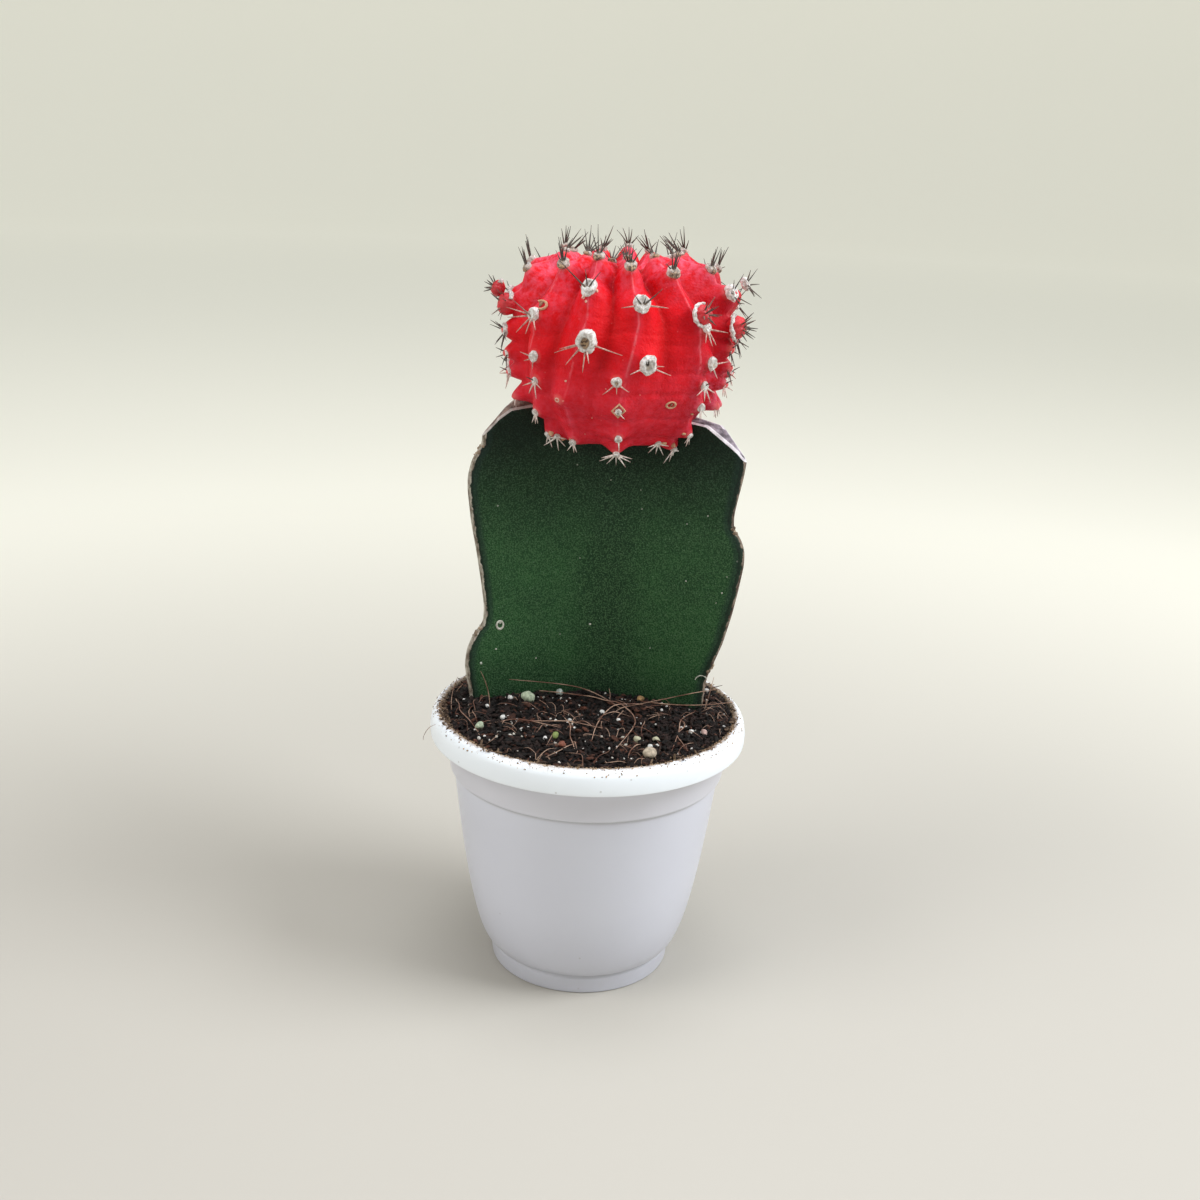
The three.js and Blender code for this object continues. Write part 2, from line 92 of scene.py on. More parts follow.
def newMesh(name, bm):
    mesh = bpy.data.meshes.new(name)
    bm.to_mesh(mesh)
    bm.free()
    return mesh


def newObject(name, data):
    made = bpy.data.objects.new(name, data)
    scene.collection.objects.link(made)
    return made


def finishPiece(name, bm, node, materials, smooth=True):
    bmesh.ops.scale(bm, vec=(mm, mm, mm), verts=bm.verts)
    return dress(name, newMesh(name, bm), node, materials, smooth)


def dress(name, mesh, node, materials, smooth=True):
    for material in materials:
        mesh.materials.append(material)
    mesh.polygons.foreach_set("use_smooth", [smooth] * len(mesh.polygons))
    piece = newObject(name, mesh)
    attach(piece, "root")
    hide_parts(node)
    print(piece.name, len(mesh.polygons), "faces")
    return piece


def sweptRound(points, steps, near):
    # (radius, height) points swept once round Z; places nearer than near are joined
    bm = bmesh.new()
    verts = [bm.verts.new((r, 0, z)) for r, z in points]
    edges = [bm.edges.new(pair) for pair in zip(verts, verts[1:])]
    bmesh.ops.spin(bm, geom=verts + edges, axis=(0, 0, 1), angle=fullTurn, steps=steps, use_merge=True)
    bmesh.ops.remove_doubles(bm, verts=bm.verts, dist=near)
    return bm


def spun(points, steps):
    bm = sweptRound(points, steps, 1e-4)
    bmesh.ops.recalc_face_normals(bm, faces=bm.faces)
    return bm


def softenRing(bm, r, z, offset, segments=3):
    # Rounds the ring edge that runs round the axis at a radius and height
    def onRing(vert):
        return abs(vert.co.z - z) < 1e-3 and abs(vert.co.xy.length - r) < 1e-3

    ring = [edge for edge in bm.edges if all(onRing(vert) for vert in edge.verts)]
    bmesh.ops.bevel(
        bm, geom=ring, offset=offset, affect="EDGES", segments=segments, profile=0.5, material=-1
    )


def inBatches(items, build, layers=(), size=250):
    # Builds many small shapes a few hundred at a time, because bmesh slows down as one mesh grows
    whole = bmesh.new()
    for start in range(0, len(items), size):
        part = bmesh.new()
        marks = [part.verts.layers.float.new(layer) for layer in layers]
        for item in items[start:start + size]:
            build(part, marks, item)
        addTo(whole, part)
    return whole


def addTo(whole, part):
    mesh = newMesh("batch", part)
    whole.from_mesh(mesh)
    bpy.data.meshes.remove(mesh)


def facing(point, out, up):
    # Matrix that puts a shape at a point with its Z axis out and its Y axis as near to up as it can be
    z = out.normalized()
    x = up.cross(z).normalized()
    y = z.cross(x)
    return Matrix.Translation(point) @ Matrix((x, y, z)).transposed().to_4x4()


def lump(bm, marks, place, size, turn, values, detail=1):
    # A small rough ball, squashed to size and turned
    matrix = Matrix.Translation(place) @ turn @ Matrix.Diagonal((*size, 1))
    made = bmesh.ops.create_icosphere(bm, subdivisions=detail, radius=1, matrix=matrix)["verts"]
    for mark, value in zip(marks, values):
        for vert in made:
            vert[mark] = value
    return made


def lumps(items):
    # Many of them, each with its place, size, turn and shade
    return inBatches(items, lambda part, marks, one: lump(part, marks, *one[:3], one[3:]), ("shade",))


def anyTurn(random):
    spin = Matrix.Rotation(random(0, fullTurn), 4, "Z")
    return spin @ Matrix.Rotation(random(0, math.pi), 4, "X") @ Matrix.Rotation(random(0, fullTurn), 4, "Z")


# Camera, at the photograph's viewing angle

view = {
    "place": (0, -340.0, 207.74),
    "pan": -0.297,
    "down": 17.94,
    "roll": 2.43,
    "lens": 43.127,
    "sensor": 36,
    "imageSize": 1200,
    "near": 0.01,
}


def addCamera():
    data = bpy.data.cameras.new("photoCamera")
    data.lens = view["lens"]
    data.sensor_width = view["sensor"]
    data.sensor_fit = "HORIZONTAL"
    data.clip_start = view["near"]
    turn = Matrix.Rotation(math.radians(view["pan"]), 4, "Z")
    tilt = Matrix.Rotation(math.radians(90 - view["down"]), 4, "X")
    roll = Matrix.Rotation(math.radians(view["roll"]), 4, "Z")
    camera = newObject("photoCamera", data)
    camera.matrix_world = Matrix.Translation(Vector(view["place"]) * mm) @ turn @ tilt @ roll
    scene.camera = camera
    return turn @ tilt @ roll


viewTurn = addCamera()


def seenAt(surface, px, py):
    # Where the photograph's pixel meets a surface, in millimetres, and the way that the surface faces there
    focal = view["lens"] / view["sensor"] * view["imageSize"]
    half = view["imageSize"] / 2
    ray = viewTurn @ Vector(((px - half) / focal, (half - py) / focal, -1))
    point, out, _, _ = surface.ray_cast(Vector(view["place"]), ray.normalized())
    return point, out


# Shader nodes

def node(tree, kind, inputs=None, **settings):
    made = tree.nodes.new("ShaderNode" + kind)
    for name, value in settings.items():
        setattr(made, name, value)
    for key, value in (inputs or {}).items():
        if isinstance(value, bpy.types.NodeSocket):
            tree.links.new(value, made.inputs[key])
        else:
            made.inputs[key].default_value = value
    return made


def mixed(tree, factor, low, high):
    # Colour between low and high; the Mix node's colour sockets come after its value and vector sockets
    colours = [value if isinstance(value, bpy.types.NodeSocket) else (*value, 1) for value in (low, high)]
    return node(tree, "Mix", {0: factor, 6: colours[0], 7: colours[1]}, data_type="RGBA").outputs[2]


def layered(tree, base, *layers):
    # Colours laid over a base: each has a mask, a paint and, where it shows less, a strength
    for mask, paint, *strengths in layers:
        for strength in strengths:
            mask = times(tree, mask, strength)
        base = mixed(tree, mask, base, paint)
    return base


def stretched(tree, value, low, high, start=0.0, end=1.0):
    # Clamped, eased change from start to end while value goes from low to high
    inputs = {"Value": value, "From Min": low, "From Max": high, "To Min": start, "To Max": end}
    return node(tree, "MapRange", inputs, interpolation_type="SMOOTHSTEP").outputs[0]


def reckoned(tree, operation, first, second=0.0):
    return node(tree, "Math", {0: first, 1: second}, operation=operation).outputs[0]


def times(tree, first, second):
    return reckoned(tree, "MULTIPLY", first, second)


def plus(tree, first, second):
    return reckoned(tree, "ADD", first, second)


def sidesOf(tree, place):
    return node(tree, "SeparateXYZ", {0: place}).outputs


def placeInMm(tree, stretch=(1, 1, 1)):
    # Object coordinates in millimetres
    coords = node(tree, "TexCoord").outputs["Object"]
    scale = [side / mm for side in stretch]
    return node(tree, "Mapping", {"Vector": coords, "Scale": scale}).outputs[0]


def marked(tree, name):
    return node(tree, "Attribute", attribute_name=name).outputs["Fac"]


def newGroup(name, inputs, output):
    group = bpy.data.node_groups.new(name, "ShaderNodeTree")
    group.interface.new_socket("Vector", in_out="INPUT", socket_type="NodeSocketVector")
    for label, value in inputs.items():
        socket = group.interface.new_socket(label, in_out="INPUT", socket_type="NodeSocketFloat")
        socket.default_value = value
    group.interface.new_socket(output, in_out="OUTPUT", socket_type="NodeSocketFloat")
    return group, group.nodes.new("NodeGroupInput").outputs, group.nodes.new("NodeGroupOutput").inputs


def makeSpeckleGroup():
    # Round specks of a size, of which only some show
    group, given, result = newGroup("fineSpeckle", {"Spacing": 1.0, "Speck": 0.2, "Share": 0.5}, "Mask")
    scale = reckoned(group, "DIVIDE", 1.0, given["Spacing"])
    cells = node(group, "TexVoronoi", {"Vector": given["Vector"], "Scale": scale})
    core = times(group, given["Speck"], 0.55)
    inside = stretched(group, cells.outputs["Distance"], given["Speck"], core)
    pick = node(group, "SeparateColor", {0: cells.outputs["Color"]}).outputs[0]
    shown = reckoned(group, "LESS_THAN", pick, given["Share"])
    group.links.new(times(group, inside, shown), result["Mask"])
    return group


def makeMottleGroup():
    # Soft cloudy change between 0 and 1
    group, given, result = newGroup("softMottle", {"Size": 5.0, "Detail": 3.0, "Contrast": 1.0}, "Value")
    scale = reckoned(group, "DIVIDE", 1.0, given["Size"])
    inputs = {"Vector": given["Vector"], "Scale": scale, "Detail": given["Detail"], "Roughness": 0.6}
    centred = reckoned(group, "SUBTRACT", node(group, "TexNoise", inputs).outputs[0], 0.5)
    steep = times(group, centred, times(group, given["Contrast"], 2.2))
    value = node(group, "Math", {0: steep, 1: 0.5}, operation="ADD", use_clamp=True).outputs[0]
    group.links.new(value, result["Value"])
    return group


speckleGroup = makeSpeckleGroup()
mottleGroup = makeMottleGroup()


def specks(tree, vector, spacing, speck, share):
    inputs = {"Vector": vector, "Spacing": spacing, "Speck": speck, "Share": share}
    return node(tree, "Group", inputs, node_tree=speckleGroup).outputs["Mask"]


def mottle(tree, vector, size, detail=3.0, contrast=1.0):
    inputs = {"Vector": vector, "Size": size, "Detail": detail, "Contrast": contrast}
    return node(tree, "Group", inputs, node_tree=mottleGroup).outputs["Value"]


def shaderOf(tree):
    return tree.nodes["Principled BSDF"]


def newMaterial(name, constants=None):
    # A material with its shader's constant sockets set, its node tree, and Object coordinates in millimetres
    material = bpy.data.materials.new(name)
    material.use_nodes = True
    tree = material.node_tree
    for socket, value in (constants or {}).items():
        shaderOf(tree).inputs[socket].default_value = value
    return material, tree, placeInMm(tree)


def lightThrough(weight, radius, scale):
    # Constants of the light that scatters under a surface, with the scale in millimetres
    return {"Subsurface Weight": weight, "Subsurface Radius": radius, "Subsurface Scale": scale * mm}


def painted(material, colour, roughness, height=None, depth=0.1):
    # Links a colour, a roughness and a relief with its depth in millimetres, and gives back the material;
    # the roughness can be a value from 0 to 1 with the lowest and the highest roughness
    tree = material.node_tree
    shader = shaderOf(tree)
    if isinstance(roughness, tuple):
        value, low, high = roughness
        roughness = stretched(tree, value, 0, 1, low, high)
    tree.links.new(colour, shader.inputs["Base Color"])
    tree.links.new(roughness, shader.inputs["Roughness"])
    if height is not None:
        bump = node(tree, "Bump", {"Height": height, "Distance": depth * mm, "Strength": 1.0})
        tree.links.new(bump.outputs[0], shader.inputs["Normal"])
    return material


print("kit ready")


# Pot: moulded white plastic

pot = {
    "steps": 144,
    "wall": 1.25,
    "floor": 1.6,
    "foot": {"lowR": 23.2, "highR": 23.6, "highZ": 4.3, "grooveR": 23.25, "grooveZ": 5},
    "barrel": {"lowR": 23.4, "lowZ": 5.4, "highR": 33.9, "highZ": 53.4, "rows": 26},
    "collar": {"lowR": 34.9, "lowZ": 53.8, "highR": 36.1, "highZ": 62.5},
    "rim": {
        "innerR": 36.8, "outerR": 40, "lipR": 38.7, "lipZ": 62.8, "topZ": 69, "underZ": 67.2, "edgeZ": 68.5,
    },
    "drain": {"count": 4, "r": 2.6, "ring": 13, "sides": 32},
}


def barrelAt(t, inset):
    barrel = pot["barrel"]
    r = barrel["lowR"] + (barrel["highR"] - barrel["lowR"]) * t - inset
    return r, barrel["lowZ"] + (barrel["highZ"] - barrel["lowZ"]) * t * t


def potInside(inset):
    foot, collar, barrel = pot["foot"], pot["collar"], pot["barrel"]
    return [
        (collar["highR"] - 0.5 - inset, collar["highZ"] + 2.5),
        (barrel["highR"] - pot["wall"] - inset, barrel["highZ"] - 0.4),
        *[barrelAt(t, pot["wall"] + inset) for t in (0.6, 0.35, 0.15)],
        (foot["highR"] - 2 - inset, foot["highZ"] - 0.1),
        (foot["lowR"] - 2.3 - inset, pot["floor"] + inset),
    ]


def makePot():
    foot, barrel, collar, rim = pot["foot"], pot["barrel"], pot["collar"], pot["rim"]
    shoulder = (rim["outerR"] - 0.5, rim["topZ"] - 1.2)
    brim = (rim["outerR"] - 1.6, rim["topZ"])
    profile = [
        (0, 0),
        (foot["lowR"], 0),
        (foot["highR"], foot["highZ"]),
        (foot["grooveR"], foot["grooveZ"]),
        *[barrelAt(i / barrel["rows"], 0) for i in range(barrel["rows"] + 1)],
        (collar["lowR"], collar["lowZ"]),
        (collar["highR"], collar["highZ"]),
        (rim["lipR"] - 0.9, rim["underZ"]),
        (rim["lipR"], rim["lipZ"]),
        (rim["outerR"] - 0.1, rim["lipZ"]),
        (rim["outerR"], rim["lipZ"] + 2.2),
        shoulder,
        brim,
        (rim["innerR"] + 0.5, rim["topZ"]),
        (rim["innerR"], rim["edgeZ"]),
        *potInside(0),
        (0, pot["floor"]),
    ]
    bm = spun(profile, pot["steps"])
    # Rings to round: radius, height, offset and segments
    for ring in (
        (foot["lowR"], 0, 0.45, 3),
        (foot["highR"], foot["highZ"], 0.2, 3),
        (barrel["highR"], barrel["highZ"], 0.16, 2),
        (collar["lowR"], collar["lowZ"], 0.45, 3),
        (rim["lipR"], rim["lipZ"], 0.3, 2),
        (rim["outerR"] - 0.1, rim["lipZ"], 0.3, 3),
        (*shoulder, 0.8, 3),
        (*brim, 0.7, 3),
        (rim["innerR"] + 0.5, rim["topZ"], 0.3, 2),
    ):
        softenRing(bm, *ring)
    piece = finishPiece("potShell", bm, "pot", [potPlastic()])
    pierce(piece)
    # Large faces decide the shading at their bevels, so that flat faces look flat
    piece.modifiers.new("evenShading", "WEIGHTED_NORMAL")


def pierce(piece):
    # Cuts the drain holes with a Boolean modifier, which is then applied
    drain = pot["drain"]
    bm = bmesh.new()
    for i in range(drain["count"]):
        x, y = polar(drain["ring"], (i + 0.5) * fullTurn / drain["count"])
        bmesh.ops.create_cone(
            bm, segments=drain["sides"], radius1=drain["r"], radius2=drain["r"], depth=4 * pot["floor"],
            cap_ends=True, matrix=Matrix.Translation((x, y, 0)),
        )
    bmesh.ops.scale(bm, vec=(mm, mm, mm), verts=bm.verts)
    cutter = newObject("drainCutter", newMesh("drainCutter", bm))
    holes = piece.modifiers.new("drainHoles", "BOOLEAN")
    holes.object = cutter
    holes.operation = "DIFFERENCE"
    with bpy.context.temp_override(object=piece, active_object=piece, selected_objects=[piece]):
        bpy.ops.object.modifier_apply(modifier=holes.name)
    bpy.data.objects.remove(cutter)


def potPlastic():
    material, tree, place = newMaterial("potPlastic", {"IOR": 1.5, **lightThrough(0.12, (1, 1, 1), 1.5)})
    x, y, height = sidesOf(tree, place)
    flat = node(tree, "CombineXYZ", {0: x, 1: y}).outputs[0]
    radius = node(tree, "VectorMath", {0: flat}, operation="LENGTH").outputs["Value"]
    barrel = mixed(tree, mottle(tree, place, 30, 3), (0.655, 0.668, 0.765), (0.675, 0.69, 0.785))
    # Painted shade in the step under the collar and in the groove over the foot
    step = times(tree, stretched(tree, height, 52.4, 53.2), stretched(tree, height, 53.9, 53.6))
    groove = times(tree, stretched(tree, height, 4.2, 4.7), stretched(tree, height, 5.8, 5.2, 0, 0.6))
    # Peat-coloured dust where the mix has touched the rim's inner edge, and smears of it over the rim
    nearMix = times(tree, stretched(tree, radius, 39.3, 37.1), stretched(tree, height, 66.5, 68.3))
    cover = plus(tree, nearMix, mottle(tree, place, 1.4, 6, 1.6))
    patches = times(tree, stretched(tree, cover, 0.78, 1.1), nearMix)
    soil = mixed(tree, mottle(tree, place, 0.8, 4, 2), (0.16, 0.085, 0.04), (0.50, 0.37, 0.24))
    onRim = times(tree, stretched(tree, radius, 39.6, 38.2), stretched(tree, height, 66.5, 68))
    blotches = stretched(tree, mottle(tree, place, 11, 2, 2.5), 0.55, 0.85)
    flecks = stretched(tree, mottle(tree, place, 0.9, 5, 2.2), 0.5, 0.78, 0, 0.75)
    bits = times(tree, specks(tree, place, 2.6, 0.16, 0.1), stretched(tree, height, 61, 66))
    # Scuffing and a little soil splash low on the wall
    splash = times(tree, stretched(tree, height, 9, 0), 0.10)
    colour = layered(
        tree, barrel,
        # Painted shade: the wall darkens towards the bottom
        (stretched(tree, height, 30, 2), (0.58, 0.59, 0.675)),
        (stretched(tree, height, 52, 55), (0.655, 0.655, 0.73)),
        # Painted shade in the step and the groove
        (reckoned(tree, "MAXIMUM", step, groove), (0.36, 0.36, 0.38), 0.42),
        # Painted light: whiter and bluer from the collar's top up over the rim
        (stretched(tree, height, 61.5, 63.5), (0.87, 0.92, 1.0)),
        (patches, soil, 0.9),
        (onRim, soil, times(tree, blotches, flecks)),
        (bits, (0.16, 0.11, 0.08), 0.7),
        (specks(tree, place, 3.4, 0.1, 0.16), (0.30, 0.28, 0.27), 0.35),
        (mottle(tree, place, 2, 5, 1), (0.46, 0.42, 0.38), splash),
    )
    gloss = stretched(tree, mottle(tree, place, 9, 3), 0, 1, 0.28, 0.33)
    dulled = plus(tree, gloss, times(tree, patches, 0.4))
    ripple = mottle(tree, placeInMm(tree, (1, 1, 0.2)), 16, 0, 0.4)
    return painted(material, colour, dulled, ripple, 0.012)


makePot()


# Rootstock: three-winged green stem, cut to bevels at the top

stem = {
    "x": 0, "y": 14, "valley": 7, "edge": 1.3, "flare": 1.25,
    "lowZ": 38, "topZ": 147, "rows": 184, "flankSteps": 14, "edgeSteps": 5,
    "round": 1.2, "corkWidth": 1.4, "flankMark": 0.75, "swells": ((0.35, 17), (0.12, 5)),
    "coreR": 15, "coreSmoothing": 26,
    "cutRim": 0.9, "cutRise": 0.25,
}
# On its own axis a wing starts at this distance from the stem's, with this half width
wingStart = stem["valley"] / 2
wingFull = stem["valley"] * math.cos(math.radians(30))
# Material numbers of the cut faces and of the rim round them
fleshIndex, callusIndex = 1, 2
# Cuts are planes: height and reach that they pass through, slope, and how far they lean to the front
wings = [
    {
        "turn": 90,
        "reach": [
            (38, 13), (55, 17), (66, 19.5), (71, 20), (80, 22.5), (88, 25.3), (91, 24.2), (97, 25.6),
            (108, 27), (116, 26.2), (119, 24.9), (126, 25.6), (134, 25.2), (147, 25),
        ],
        "cuts": [(134, 25.2, 35, 0)],
        "notches": [91, 119],
    },
    {
        "turn": 208,
        "reach": [
            (38, 27), (55, 31), (66, 33.4), (71, 33.9), (76, 34.9), (80, 35.5), (84, 35), (88, 33.2),
            (90.5, 30.7), (95, 30.5), (102, 31.5), (109, 32.7), (117, 34.3), (125, 35.3), (128.5, 35.3),
            (132.6, 34.2), (134.8, 32.6), (136, 31.7), (147, 31.7),
        ],
        "cuts": [(138.2, 31.5, 45, -10), (142.8, 27, 35, 1), (145.2, 22, 11, 14)],
        "notches": [88.6, 134.2],
    },
    {
        "turn": 330,
        "reach": [
            (38, 27), (55, 30.5), (66, 32.3), (70, 32.8), (79, 33.7), (83, 35.2), (89, 37.4), (97, 39.4),
            (103.5, 40.6), (110, 41.6), (113.5, 41.5), (116.5, 40.2), (118.5, 38.2), (122, 38.1),
            (126.5, 38.9), (131.5, 39.9), (136, 40.4), (147, 40.4),
        ],
        "cuts": [(135.2, 40.4, 46, -4), (139.6, 36, 35, 18), (142.8, 31, 7, 5)],
        "notches": [82, 118],
    },
]
# Cut tissue: dark and light colour at the left, the same at the right, and how deep it wrinkles
cutColours = {
    "cutFlesh": (((0.08, 0.045, 0.035), (0.34, 0.25, 0.21)), ((0.09, 0.075, 0.09), (0.42, 0.36, 0.42)), 0.4),
    "cutCallus": (((0.28, 0.24, 0.22), (0.60, 0.55, 0.53)), ((0.56, 0.52, 0.56), (0.92, 0.88, 0.93)), 0.2),
}


def easedReach(wing, z):
    # The reach with its corners eased over a couple of millimetres
    spread = 1.1
    near = [between(wing["reach"], z + spread * step) for step in (-1, -0.5, 0, 0.5, 1)]
    return sum(near) / len(near)


def wingHalf(distance, reach):
    inward = min(max((reach - distance) / (reach - wingStart), 0), 1)
    return stem["edge"] + (wingFull - stem["edge"]) * inward ** stem["flare"]


def onWing(turn, u, v):
    # Where a place along and across a wing is in the frame
    x = stem["x"] + u * math.cos(turn) - v * math.sin(turn)
    return x, stem["y"] + u * math.sin(turn) + v * math.cos(turn)


def stemOutline(z):
    # Points round the stem at a height, each with how near it is to a wing's corky edge
    outline = []
    flank = stem["flankMark"]
    for wing in wings:
        reach = easedReach(wing, z)
        bend = reach - stem["round"]
        side = []
        for i in range(stem["flankSteps"]):
            u = wingStart + (bend - wingStart) * (i + 1) / stem["flankSteps"]
            side.append((u, wingHalf(u, reach), flank * smoothStep(1 - (bend - u) / stem["corkWidth"])))
        for i in range(1, stem["edgeSteps"]):
            a = math.pi / 2 * i / stem["edgeSteps"]
            mark = flank + (1 - flank) * math.sin(a)
            side.append((bend + stem["round"] * math.sin(a), stem["edge"] * math.cos(a), mark))
        mirrored = [(u, -v, mark) for u, v, mark in side]
        section = [(wingStart, -wingFull, 0), *mirrored, (reach, 0, 1), *reversed(side)]
        turn = math.radians(wing["turn"])
        outline += [(*onWing(turn, u, v), mark) for u, v, mark in section]
    return outline


def stemBody():
    # A grid rolled into a tube: its columns are the outline's points and its rows the heights
    columns = len(stemOutline(stem["lowZ"]))
    rows = stem["rows"]
    bm = bmesh.new()
    bmesh.ops.create_grid(bm, x_segments=columns, y_segments=rows, size=1)
    cork = bm.verts.layers.float.new("cork")
    heights = [stem["lowZ"] + (stem["topZ"] - stem["lowZ"]) * row / rows for row in range(rows + 1)]
    outlines = [stemOutline(z) for z in heights]
    core = []
    for vert in bm.verts:
        column = round((vert.co.x + 1) / 2 * columns) % columns
        row = round((vert.co.y + 1) / 2 * rows)
        x, y, mark = outlines[row][column]
        z = heights[row]
        swell = sum(depth * roughly(x, y, z, size) for depth, size in stem["swells"])
        away = Vector((x - stem["x"], y - stem["y"], 0)).normalized()
        vert.co = Vector((x, y, z)) + away * swell * (1 - mark)
        vert[cork] = mark
        if math.hypot(x - stem["x"], y - stem["y"]) < stem["coreR"] and 0 < row < rows:
            core.append(vert)
    bmesh.ops.remove_doubles(bm, verts=bm.verts, dist=1e-4)
    core = [vert for vert in core if vert.is_valid]
    for _ in range(stem["coreSmoothing"]):
        bmesh.ops.smooth_vert(bm, verts=core, factor=0.5, use_axis_x=True, use_axis_y=True)
    bmesh.ops.holes_fill(bm, edges=[edge for edge in bm.edges if edge.is_boundary], sides=0)
    bmesh.ops.recalc_face_normals(bm, faces=bm.faces)
    return bm


def cutBevels(bm):
    for wing in wings:
        turn = math.radians(wing["turn"])
        out = Vector((*polar(1, turn), 0))
        front = Vector((out.y, -out.x, 0)) * (1 if out.x > 0 else -1)
        for z, reach, slope, lean in wing["cuts"]:
            slope, lean = math.radians(slope), math.radians(lean)
            normal = (out * math.sin(slope) + Vector((0, 0, math.cos(slope)))) * math.cos(lean)
            normal += front * math.sin(lean)
            point = Vector((stem["x"], stem["y"], z)) + out * reach
            cut = bmesh.ops.bisect_plane(
                bm, geom=[*bm.verts, *bm.edges, *bm.faces], plane_co=point, plane_no=normal, clear_outer=True
            )
            edges = [item for item in cut["geom_cut"] if isinstance(item, bmesh.types.BMEdge)]
            for face in bmesh.ops.contextual_create(bm, geom=edges, mat_nr=fleshIndex)["faces"]:
                face.material_index = fleshIndex
    bm.normal_update()
    faces = [face for face in bm.faces if face.material_index == fleshIndex]
    rim = bmesh.ops.inset_region(
        bm, faces=faces, thickness=stem["cutRim"], depth=stem["cutRise"], use_even_offset=True
    )
    for face in rim["faces"]:
        face.material_index = callusIndex


def stemSkin():
    material, tree, place = newMaterial("stemSkin", {
        "Specular IOR Level": 0.16, **lightThrough(0.06, (0.4, 1, 0.3), 1.2),
    })
    across, _, height = sidesOf(tree, place)
    rightSide = stretched(tree, across, 8, 20)
    green = mixed(tree, mottle(tree, place, 14, 3, 1.2), (0.017, 0.063, 0.023), (0.027, 0.100, 0.032))
    offMiddle = reckoned(tree, "ABSOLUTE", reckoned(tree, "SUBTRACT", across, 4))
    # Painted shade: darker and bluer towards the grafted top, under the globe, and towards the soil
    lower = times(tree, stretched(tree, height, 84, 68), 0.5)
    ends = reckoned(tree, "MAXIMUM", stretched(tree, height, 104, 140), lower)
    grain = mottle(tree, place, 0.34, 2, 2.6)
    bright = mixed(tree, ends, (0.075, 0.155, 0.068), (0.045, 0.085, 0.052))
    # Pale flecks fade towards the top, inside the painted shade under the globe
    lowDown = stretched(tree, height, 112, 138, 0.42, 0.15)
    # Noise breaks up the corky edge, which is narrower and browner on the right-hand wing
    mark = marked(tree, "cork")
    ragged = times(tree, reckoned(tree, "SUBTRACT", mottle(tree, place, 2.4, 5, 1.6), 0.5), 0.09)
    edge = plus(tree, mark, ragged)
    corky = stretched(tree, reckoned(tree, "SUBTRACT", edge, times(tree, rightSide, 0.055)), 0.9, 0.935)
    flakes = mottle(tree, placeInMm(tree, (1, 1, 0.4)), 1.4, 6, 2.2)
    greyBark = mixed(tree, flakes, (0.17, 0.135, 0.105), (0.56, 0.52, 0.45))
    brownBark = mixed(tree, flakes, (0.07, 0.045, 0.035), (0.30, 0.24, 0.19))
    # The last three are a bluish band beside the edge, a dark line, and the cork itself
    colour = layered(
        tree, green,
        # Painted shade: darker in the valley between the front wings
        (stretched(tree, offMiddle, 13, 1, 0, 0.7), (0.010, 0.036, 0.016)),
        # Painted shade towards the grafted top and the soil
        (ends, (0.003, 0.013, 0.008), 0.85),
        (stretched(tree, grain, 0.5, 0.1, 0, 0.4), (0.005, 0.016, 0.007)),
        (stretched(tree, grain, 0.55, 0.95, 0, 0.65), bright),
        (specks(tree, place, 0.9, 0.2, 0.35), (0.17, 0.29, 0.17), lowDown),
        (specks(tree, place, 6.5, 0.055, 0.35), (0.42, 0.46, 0.38), 0.8),
        # Painted shadow under the globe
        (stretched(tree, height, 128, 141, 0, 0.6), (0.002, 0.008, 0.005)),
        (stretched(tree, mark, 0.25, 0.7), (0.013, 0.030, 0.024), 0.6),
        (stretched(tree, edge, 0.76, 0.84, 0, 0.6), (0.006, 0.010, 0.008)),
        (corky, mixed(tree, rightSide, greyBark, brownBark)),
    )
    satin = stretched(tree, grain, 0, 1, 0.42, 0.56)
    roughness = node(tree, "Mix", {0: corky, 2: satin, 3: 0.85}).outputs[0]
    pores = plus(tree, grain, times(tree, mottle(tree, place, 2.6, 3), 1.5))
    relief = plus(tree, pores, times(tree, corky, mottle(tree, place, 0.8, 5, 2)))
    return painted(material, colour, roughness, relief, 0.07)


def cutTissue(name, left, right, depth):
    # Dried flesh of the knife cuts, or the paler callus round it
    material, tree, place = newMaterial(name)
    clouds = mottle(tree, place, 2.6, 5, 1.8)
    side = stretched(tree, sidesOf(tree, place)[0], -5, 10)
    dark, light = [mixed(tree, side, *pair) for pair in zip(left, right)]
    colour = layered(tree, dark, (clouds, light), (specks(tree, place, 1.0, 0.2, 0.4), dark, 0.6))
    wrinkles = mottle(tree, placeInMm(tree, (1, 0.4, 1)), 1.3, 6, 1.5)
    return painted(material, colour, (clouds, 0.7, 0.9), wrinkles, depth)


def makeRootstock():
    bm = stemBody()
    cutBevels(bm)
    surface = BVHTree.FromBMesh(bm)
    tissues = [cutTissue(name, *colours) for name, colours in cutColours.items()]
    finishPiece("stemBody", bm, "rootstock", [stemSkin(), *tissues])
    return surface


stemSurface = makeRootstock()

corkKnobs = {
    "count": 16, "spread": 1.5, "low": 0.28, "high": 0.62, "sunk": (0.1, 0.5), "aside": (-0.8, 0.8),
    "speckShade": 1.6,
}
# Specks on the stem's face, as pixels of the photograph, with the radius in millimetres
stemSpecks = [
    (590, 624, 0.32), (481, 663, 0.4), (536, 658, 0.24), (722, 593, 0.28), (686, 581, 0.24), (708, 516, 0.2),
    (642, 509, 0.2), (496, 649, 0.3), (641, 490, 0.16), (560, 634, 0.16), (687, 524, 0.18), (580, 558, 0.15),
    (727, 577, 0.15), (716, 603, 0.16), (650, 648, 0.16), (611, 480, 0.16), (500, 623, 0.3), (501, 628, 0.28),
]
# Raised rings: pixel, radius and thickness in millimetres, how dark, and where along the circle they run
stemRings = [
    {"px": (500, 625), "r": 0.85, "tube": 0.26, "squash": 1.2, "shade": 1.5},
    {"px": (701, 681), "r": 1.5, "tube": 0.13, "shade": 1.6, "start": -80, "end": 60},
]


